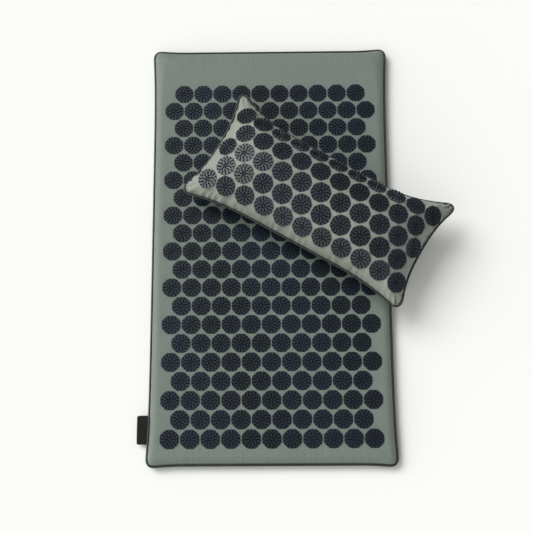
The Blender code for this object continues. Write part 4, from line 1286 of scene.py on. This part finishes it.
def build_label():
    """Ribbon folded in half, its ends caught in the seam, its outer corners eased."""
    top = SEAM_HEIGHT - PIPING_RADIUS - FIT_GAP - LABEL_THICKNESS / 2
    centre = top - LABEL_FOLD_RADIUS
    root = -MAT_HALF_WIDTH - FIT_GAP
    tip = root - LABEL_REACH
    run = np.linspace(root, tip + LABEL_FOLD_RADIUS, LABEL_LINES_ALONG)
    turns = math.pi / 2 + math.pi * np.arange(1, LABEL_FOLD_STEPS) / LABEL_FOLD_STEPS
    x = np.concatenate([run, run[-1] + LABEL_FOLD_RADIUS * np.cos(turns), run[::-1]])
    z = np.concatenate([np.full(len(run), top), centre + LABEL_FOLD_RADIUS * np.sin(turns),
                        np.full(len(run), centre - LABEL_FOLD_RADIUS)])
    shares = np.linspace(0, 1, LABEL_LINES_ACROSS)
    along, across = np.meshgrid(lengths_along(np.column_stack([x, z])), shares * LABEL_WIDTH,
                                indexing="ij")
    x, z = x[:, None], z[:, None]
    past = np.maximum(0, LABEL_CORNER_RADIUS - (x - tip))
    pull = LABEL_CORNER_RADIUS - np.sqrt(np.maximum(0, LABEL_CORNER_RADIUS ** 2 - past ** 2))
    y = LABEL_FROM_FOOT_END - MAT_HALF_LENGTH + pull + (LABEL_WIDTH - 2 * pull) * shares
    sag = LABEL_SAG * np.sin(shares * 7.1 + x * 90) * np.minimum(1, (root - x) / LABEL_SAG_RUN)
    z = z + sag - abs(sag).max(axis=1, keepdims=True)
    points = np.stack(np.broadcast_arrays(x, y, z), -1)
    item = add_piece("mat_label", points, grid_faces(*along.shape), label_ribbon(), "mat")
    store_vectors(item, "cloth_place", along, across)
    thicken(item, LABEL_THICKNESS, 0, 1)
    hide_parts("mat_side_label")


# Zips


def zip_place(word):
    """Frame of a zip: X along it, Z out of the cover."""
    if word == "mat":
        wall = MAT_HALF_LENGTH - MAT_END_DRAW_IN
        axes = Matrix(((-1, 0, 0), (0, 0, 1), (0, 1, 0))).transposed().to_4x4()
        return Matrix.Translation((0, wall, (BOTTOM_EDGE_RADIUS + SEAM_HEIGHT) / 2)) @ axes
    low, high = (Vector(pillow_skin(0, share, -1)) for share in PILLOW_ZIP_SHARES)
    across = (high - low).normalized()
    along = Vector((-1, 0, 0))
    axes = Matrix((along, across, along.cross(across))).transposed().to_4x4()
    return pillow_place() @ Matrix.Translation((low + high) / 2) @ axes


def coil_mesh(end, gap, bottom, sign):
    """Flattened spiral of one side of the chain."""
    width = ZIP_COIL_WIDTH / 2 - ZIP_WIRE_RADIUS
    height = ZIP_COIL_HEIGHT / 2 - ZIP_WIRE_RADIUS
    length = 2 * (end - ZIP_WIRE_RADIUS)
    turns = int(length / ZIP_TURN_PITCH)
    angle = np.linspace(0, 2 * math.pi * turns, turns * ZIP_TURN_STEPS + 1)
    line = np.stack([angle / angle[-1] * length - length / 2,
                     sign * (gap + ZIP_COIL_WIDTH / 2 + width * np.cos(angle)),
                     bottom + ZIP_COIL_HEIGHT / 2 + height * np.sin(angle)], 1)
    tangent = unit(np.gradient(line, axis=0))
    side = unit(np.cross(tangent, (1.0, 0.0, 0.0)))
    return tube(line, side, np.cross(tangent, side), ZIP_WIRE_RADIUS, ZIP_WIRE_SIDES)


def build_zip(word, half, cover):
    """Tapes and coils of one zip; its stops, slider and pull keep their solids."""
    place = zip_place(word)
    tape_top = -cover - FIT_GAP
    gap = ZIP_CENTRE_GAP / 2
    reach = ZIP_SLOT_WIDTH / 2 + ZIP_TAPE_OVERLAP
    coil_end = half - ZIP_END_MARGIN - ZIP_STOP_LENGTH - FIT_GAP
    for side, sign in (("upper", 1), ("lower", -1)):
        x, y = np.meshgrid(np.linspace(-half, half, round(2 * half / ZIP_TAPE_PITCH)),
                           np.linspace(gap, reach, ZIP_TAPE_LINES_ACROSS) * sign, indexing="ij")
        points = np.stack([x, y, np.full(x.shape, tape_top - ZIP_TAPE_THICKNESS / 2)], -1)
        tape = add_piece(f"{word}_tape_{side}", placed(points, place),
                         grid_faces(*x.shape, up=sign > 0), zip_tape_cloth(), word)
        store_vectors(tape, "cloth_place", x, y)
        thicken(tape, ZIP_TAPE_THICKNESS, 0)
        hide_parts(f"{word}_zip_tape_{side}")
        points, faces = coil_mesh(coil_end, gap, tape_top + FIT_GAP, sign)
        coil = add_piece(f"{word}_coil_{side}", placed(points, place), faces, coil_nylon(), word)
        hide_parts(f"{word}_zip_coil_{side}")
    for part in ("top_stop", "bottom_stop", "slider", "pull"):
        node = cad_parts[f"{word}_zip_{part}"]
        node.data.materials.clear()
        node.data.materials.append(slider_metal())
        ease_edges(node, METAL_EDGE_EASE)


# Inner pieces


def build_foam():
    """Slab with the edge of the cover, grained as open foam."""
    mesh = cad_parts["mat_foam_core"].data.copy()
    mesh.materials.clear()
    mesh.materials.append(crumb_material("mat_foam", FOAM_COLOUR, cells=900.0, depth=0.0002))
    item = add_object("mat_foam_slab", mesh)
    ease_edges(item, FOAM_EDGE_EASE)
    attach(item, "mat")
    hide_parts("mat_foam_core")


def build_bag_panel(name, side, replaced):
    """One side of the inner bag, which follows the cover at a clearance."""
    inset = PILLOW_CLOTH_THICKNESS + LINER_SIDE_CLEARANCE
    rise = PILLOW_CLOTH_THICKNESS + (LINER_TOP_CLEARANCE if side > 0 else FIT_GAP)
    u, v, along, across = skin_grid(side, LINER_PITCH)
    points = pillow_skin(u, v, side, inset, rise)
    points[..., 2] += side * FIT_GAP / 2
    item = add_piece(name, placed(points, pillow_place()), grid_faces(*u.shape, up=side > 0),
                     lining_cotton(), "pillow")
    store_vectors(item, "cloth_place", along, across)
    thicken(item, LINER_THICKNESS, -1)
    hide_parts(replaced)


def build_filling():
    """Closed mass of loose filling with a lumpy skin."""
    inset = PILLOW_CLOTH_THICKNESS + LINER_SIDE_CLEARANCE + LINER_THICKNESS + FILLING_SIDE_CLEARANCE
    u, v, _, _ = skin_grid(1, FILLING_PITCH)
    inside = np.minimum(1 - np.abs(u), 1 - np.abs(v)) > TINY
    run_x, run_y = FILLING_LUMP_RUNS
    points, faces = [], []
    for side, clearance in ((1, LINER_TOP_CLEARANCE), (-1, FIT_GAP)):
        rise = clearance + PILLOW_CLOTH_THICKNESS + LINER_THICKNESS + FIT_GAP
        skin = pillow_skin(u, v, side, inset, rise)
        lumps = np.sin(skin[..., 0] / run_x) * np.sin(skin[..., 1] / run_y + 1)
        skin[..., 2] -= side * FILLING_LUMP_HEIGHT * (1 + lumps) * inside
        faces += grid_faces(*u.shape, start=len(points) * u.size, up=side > 0)
        points.append(skin.reshape(-1, 3))
    item = add_piece("pillow_loose_filling", placed(np.vstack(points), pillow_place()), faces,
                     crumb_material("loose_filling", FILLING_COLOUR, cells=400.0, depth=0.0006),
                     "pillow")
    weld = item.modifiers.new("weld", 'WELD')
    weld.merge_threshold = FILLING_WELD_GAP
    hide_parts("pillow_filling")


# Stage


def add_floor(colour):
    """Pale level floor under the mat."""
    size = FLOOR_HALF_SIZE
    corners = [(-size, -size), (size, -size), (size, size), (-size, size)]
    mesh = bpy.data.meshes.new("floor")
    mesh.from_pydata([(x, y, -FLOOR_DROP) for x, y in corners], [], [(0, 1, 2, 3)])
    made, tree, shader = new_material("pale_floor", colour)
    paper = noise_of(tree, object_place(tree), 3.0, 2.0)
    tone = blend_colour(tree, paper, scaled(colour, 0.995), scaled(colour, 1.005))
    tree.links.new(tone, shader.inputs["Base Color"])
    shader.inputs["Roughness"].default_value = 1.0
    shader.inputs["Specular IOR Level"].default_value = 0.0
    mesh.materials.append(made)
    item = add_object("floor", mesh)


def add_far_light(name, share, direction, spread_degrees):
    """Wide lamp so far off that it lights the whole floor alike."""
    direction = Vector(direction).normalized()
    light = bpy.data.lights.new(name, 'SUN')
    light.angle = math.radians(spread_degrees)
    light.energy = share * math.pi / direction.z
    item = add_object(name, light)
    item.location = direction * LAMP_DISTANCE
    item.rotation_mode = 'QUATERNION'
    item.rotation_quaternion = (-direction).to_track_quat('-Z', 'Y')


def set_world(strength):
    """Even light from all round."""
    scene = bpy.context.scene
    scene.world = scene.world or bpy.data.worlds.new("studio")
    scene.world.use_nodes = True
    tree = scene.world.node_tree
    tree.nodes.clear()
    back = add_node(tree, 'ShaderNodeBackground', {"Color": (1, 1, 1, 1), "Strength": strength})
    add_node(tree, 'ShaderNodeOutputWorld', {"Surface": back.outputs[0]})


def add_camera(lens):
    """Camera high over the foot end that looks down at the mat."""
    camera = bpy.data.cameras.new("camera")
    camera.lens = lens
    camera.sensor_width = CAMERA_SENSOR
    item = add_object("camera", camera)
    item.location = CAMERA_PLACE
    item.rotation_euler = [math.radians(turn) for turn in CAMERA_TURN_DEGREES]
    bpy.context.scene.camera = item


# Operators


class ACUPRESSURE_OT_mat_cover(Operator):
    """Upper and lower cotton panels of the mat"""

    bl_idname = "acupressure.mat_cover"
    bl_label = "Mat Cover"

    def execute(self, context):
        build_mat_upper()
        build_mat_lower()
        return {'FINISHED'}


class ACUPRESSURE_OT_mat_discs(Operator):
    """Rows of spiked discs on the mat"""

    bl_idname = "acupressure.mat_discs"
    bl_label = "Mat Discs"

    def execute(self, context):
        for number, row in enumerate(mat_disc_centres()):
            frames = [Matrix.Translation((x, y, MAT_TOP)) for x, y in row]
            add_disc_row(f"mat_disc_row_{number + 1:02d}", frames, "mat", number)
        return {'FINISHED'}


class ACUPRESSURE_OT_pillow_cover(Operator):
    """Upper and lower cotton panels of the pillow"""

    bl_idname = "acupressure.pillow_cover"
    bl_label = "Pillow Cover"

    def execute(self, context):
        build_pillow_panel(1)
        build_pillow_panel(-1)
        return {'FINISHED'}


class ACUPRESSURE_OT_pillow_discs(Operator):
    """Rows of spiked discs on the pillow"""

    bl_idname = "acupressure.pillow_discs"
    bl_label = "Pillow Discs"

    def execute(self, context):
        for number, row in enumerate(pillow_disc_rows()):
            frames = [pillow_place() @ spot for spot in row]
            add_disc_row(f"pillow_disc_row_{number + 1}", frames, "pillow", 31 + number)
        return {'FINISHED'}


class ACUPRESSURE_OT_piping(Operator):
    """Dark piping round both seams"""

    bl_idname = "acupressure.piping"
    bl_label = "Piping"

    def execute(self, context):
        add_piping("mat_piping_cord", mat_seam(), "mat", "mat_piping")
        add_piping("pillow_piping_cord", pillow_seam(), "pillow", "pillow_piping")
        return {'FINISHED'}


class ACUPRESSURE_OT_side_label(Operator):
    """Folded ribbon at the mat's side"""

    bl_idname = "acupressure.side_label"
    bl_label = "Side Label"

    def execute(self, context):
        build_label()
        return {'FINISHED'}


class ACUPRESSURE_OT_zips(Operator):
    """Tapes and coils of both zips, and the finish of their metal parts"""

    bl_idname = "acupressure.zips"
    bl_label = "Zips"

    def execute(self, context):
        build_zip("mat", MAT_ZIP_HALF, COVER_THICKNESS)
        build_zip("pillow", PILLOW_ZIP_HALF, PILLOW_CLOTH_THICKNESS)
        return {'FINISHED'}


class ACUPRESSURE_OT_inner_pieces(Operator):
    """Foam slab, inner bag and loose filling"""

    bl_idname = "acupressure.inner_pieces"
    bl_label = "Inner Pieces"

    def execute(self, context):
        build_foam()
        build_bag_panel("pillow_bag_top", 1, "pillow_liner_top")
        build_bag_panel("pillow_bag_bottom", -1, "pillow_liner_bottom")
        build_filling()
        return {'FINISHED'}


class ACUPRESSURE_OT_stage(Operator):
    """Pale floor, softbox, light from all round and the camera"""

    bl_idname = "acupressure.stage"
    bl_label = "Stage"

    def execute(self, context):
        stage = context.scene.acupressure_stage
        add_floor(stage.floor_colour)
        for name, setting, direction, spread_degrees in LAMPS:
            add_far_light(name, getattr(stage, setting), direction, spread_degrees)
        set_world(stage.fill)
        add_camera(stage.lens)
        context.scene.view_settings.view_transform = 'Standard'
        return {'FINISHED'}


# Panel and registration


STEPS = (
    ACUPRESSURE_OT_mat_cover,
    ACUPRESSURE_OT_pillow_cover,
    ACUPRESSURE_OT_mat_discs,
    ACUPRESSURE_OT_pillow_discs,
    ACUPRESSURE_OT_piping,
    ACUPRESSURE_OT_side_label,
    ACUPRESSURE_OT_zips,
    ACUPRESSURE_OT_inner_pieces,
    ACUPRESSURE_OT_stage,
)

SETTINGS = {
    "acupressure_cloth": AcupressureClothSettings,
    "acupressure_discs": AcupressureDiscSettings,
    "acupressure_trim": AcupressureTrimSettings,
    "acupressure_stage": AcupressureStageSettings,
}


class ACUPRESSURE_PT_panel(Panel):
    """Buttons and settings of the mat and its pillow"""

    bl_idname = "ACUPRESSURE_PT_panel"
    bl_label = "Acupressure Mat"
    bl_space_type = 'VIEW_3D'
    bl_region_type = 'UI'
    bl_category = "Acupressure Mat"

    def draw(self, context):
        layout = self.layout
        for step in STEPS:
            layout.operator(step.bl_idname)
        for name, group in SETTINGS.items():
            box = layout.box()
            box.label(text=group.__doc__)
            for prop in group.__annotations__:
                box.prop(getattr(context.scene, name), prop)


CLASSES = (*SETTINGS.values(), *STEPS, ACUPRESSURE_PT_panel)


def register():
    """Add the operators, the panel and the settings."""
    for item in CLASSES:
        bpy.utils.register_class(item)
    for name, group in SETTINGS.items():
        setattr(bpy.types.Scene, name, PointerProperty(type=group))


def unregister():
    """Take the settings, the panel and the operators away again."""
    for name in SETTINGS:
        delattr(bpy.types.Scene, name)
    for item in reversed(CLASSES):
        bpy.utils.unregister_class(item)


def main():
    """Build every piece and the stage in order."""
    register()
    for step in STEPS:
        group, name = step.bl_idname.split(".")
        getattr(getattr(bpy.ops, group), name)()


if __name__ == "__main__":
    main()
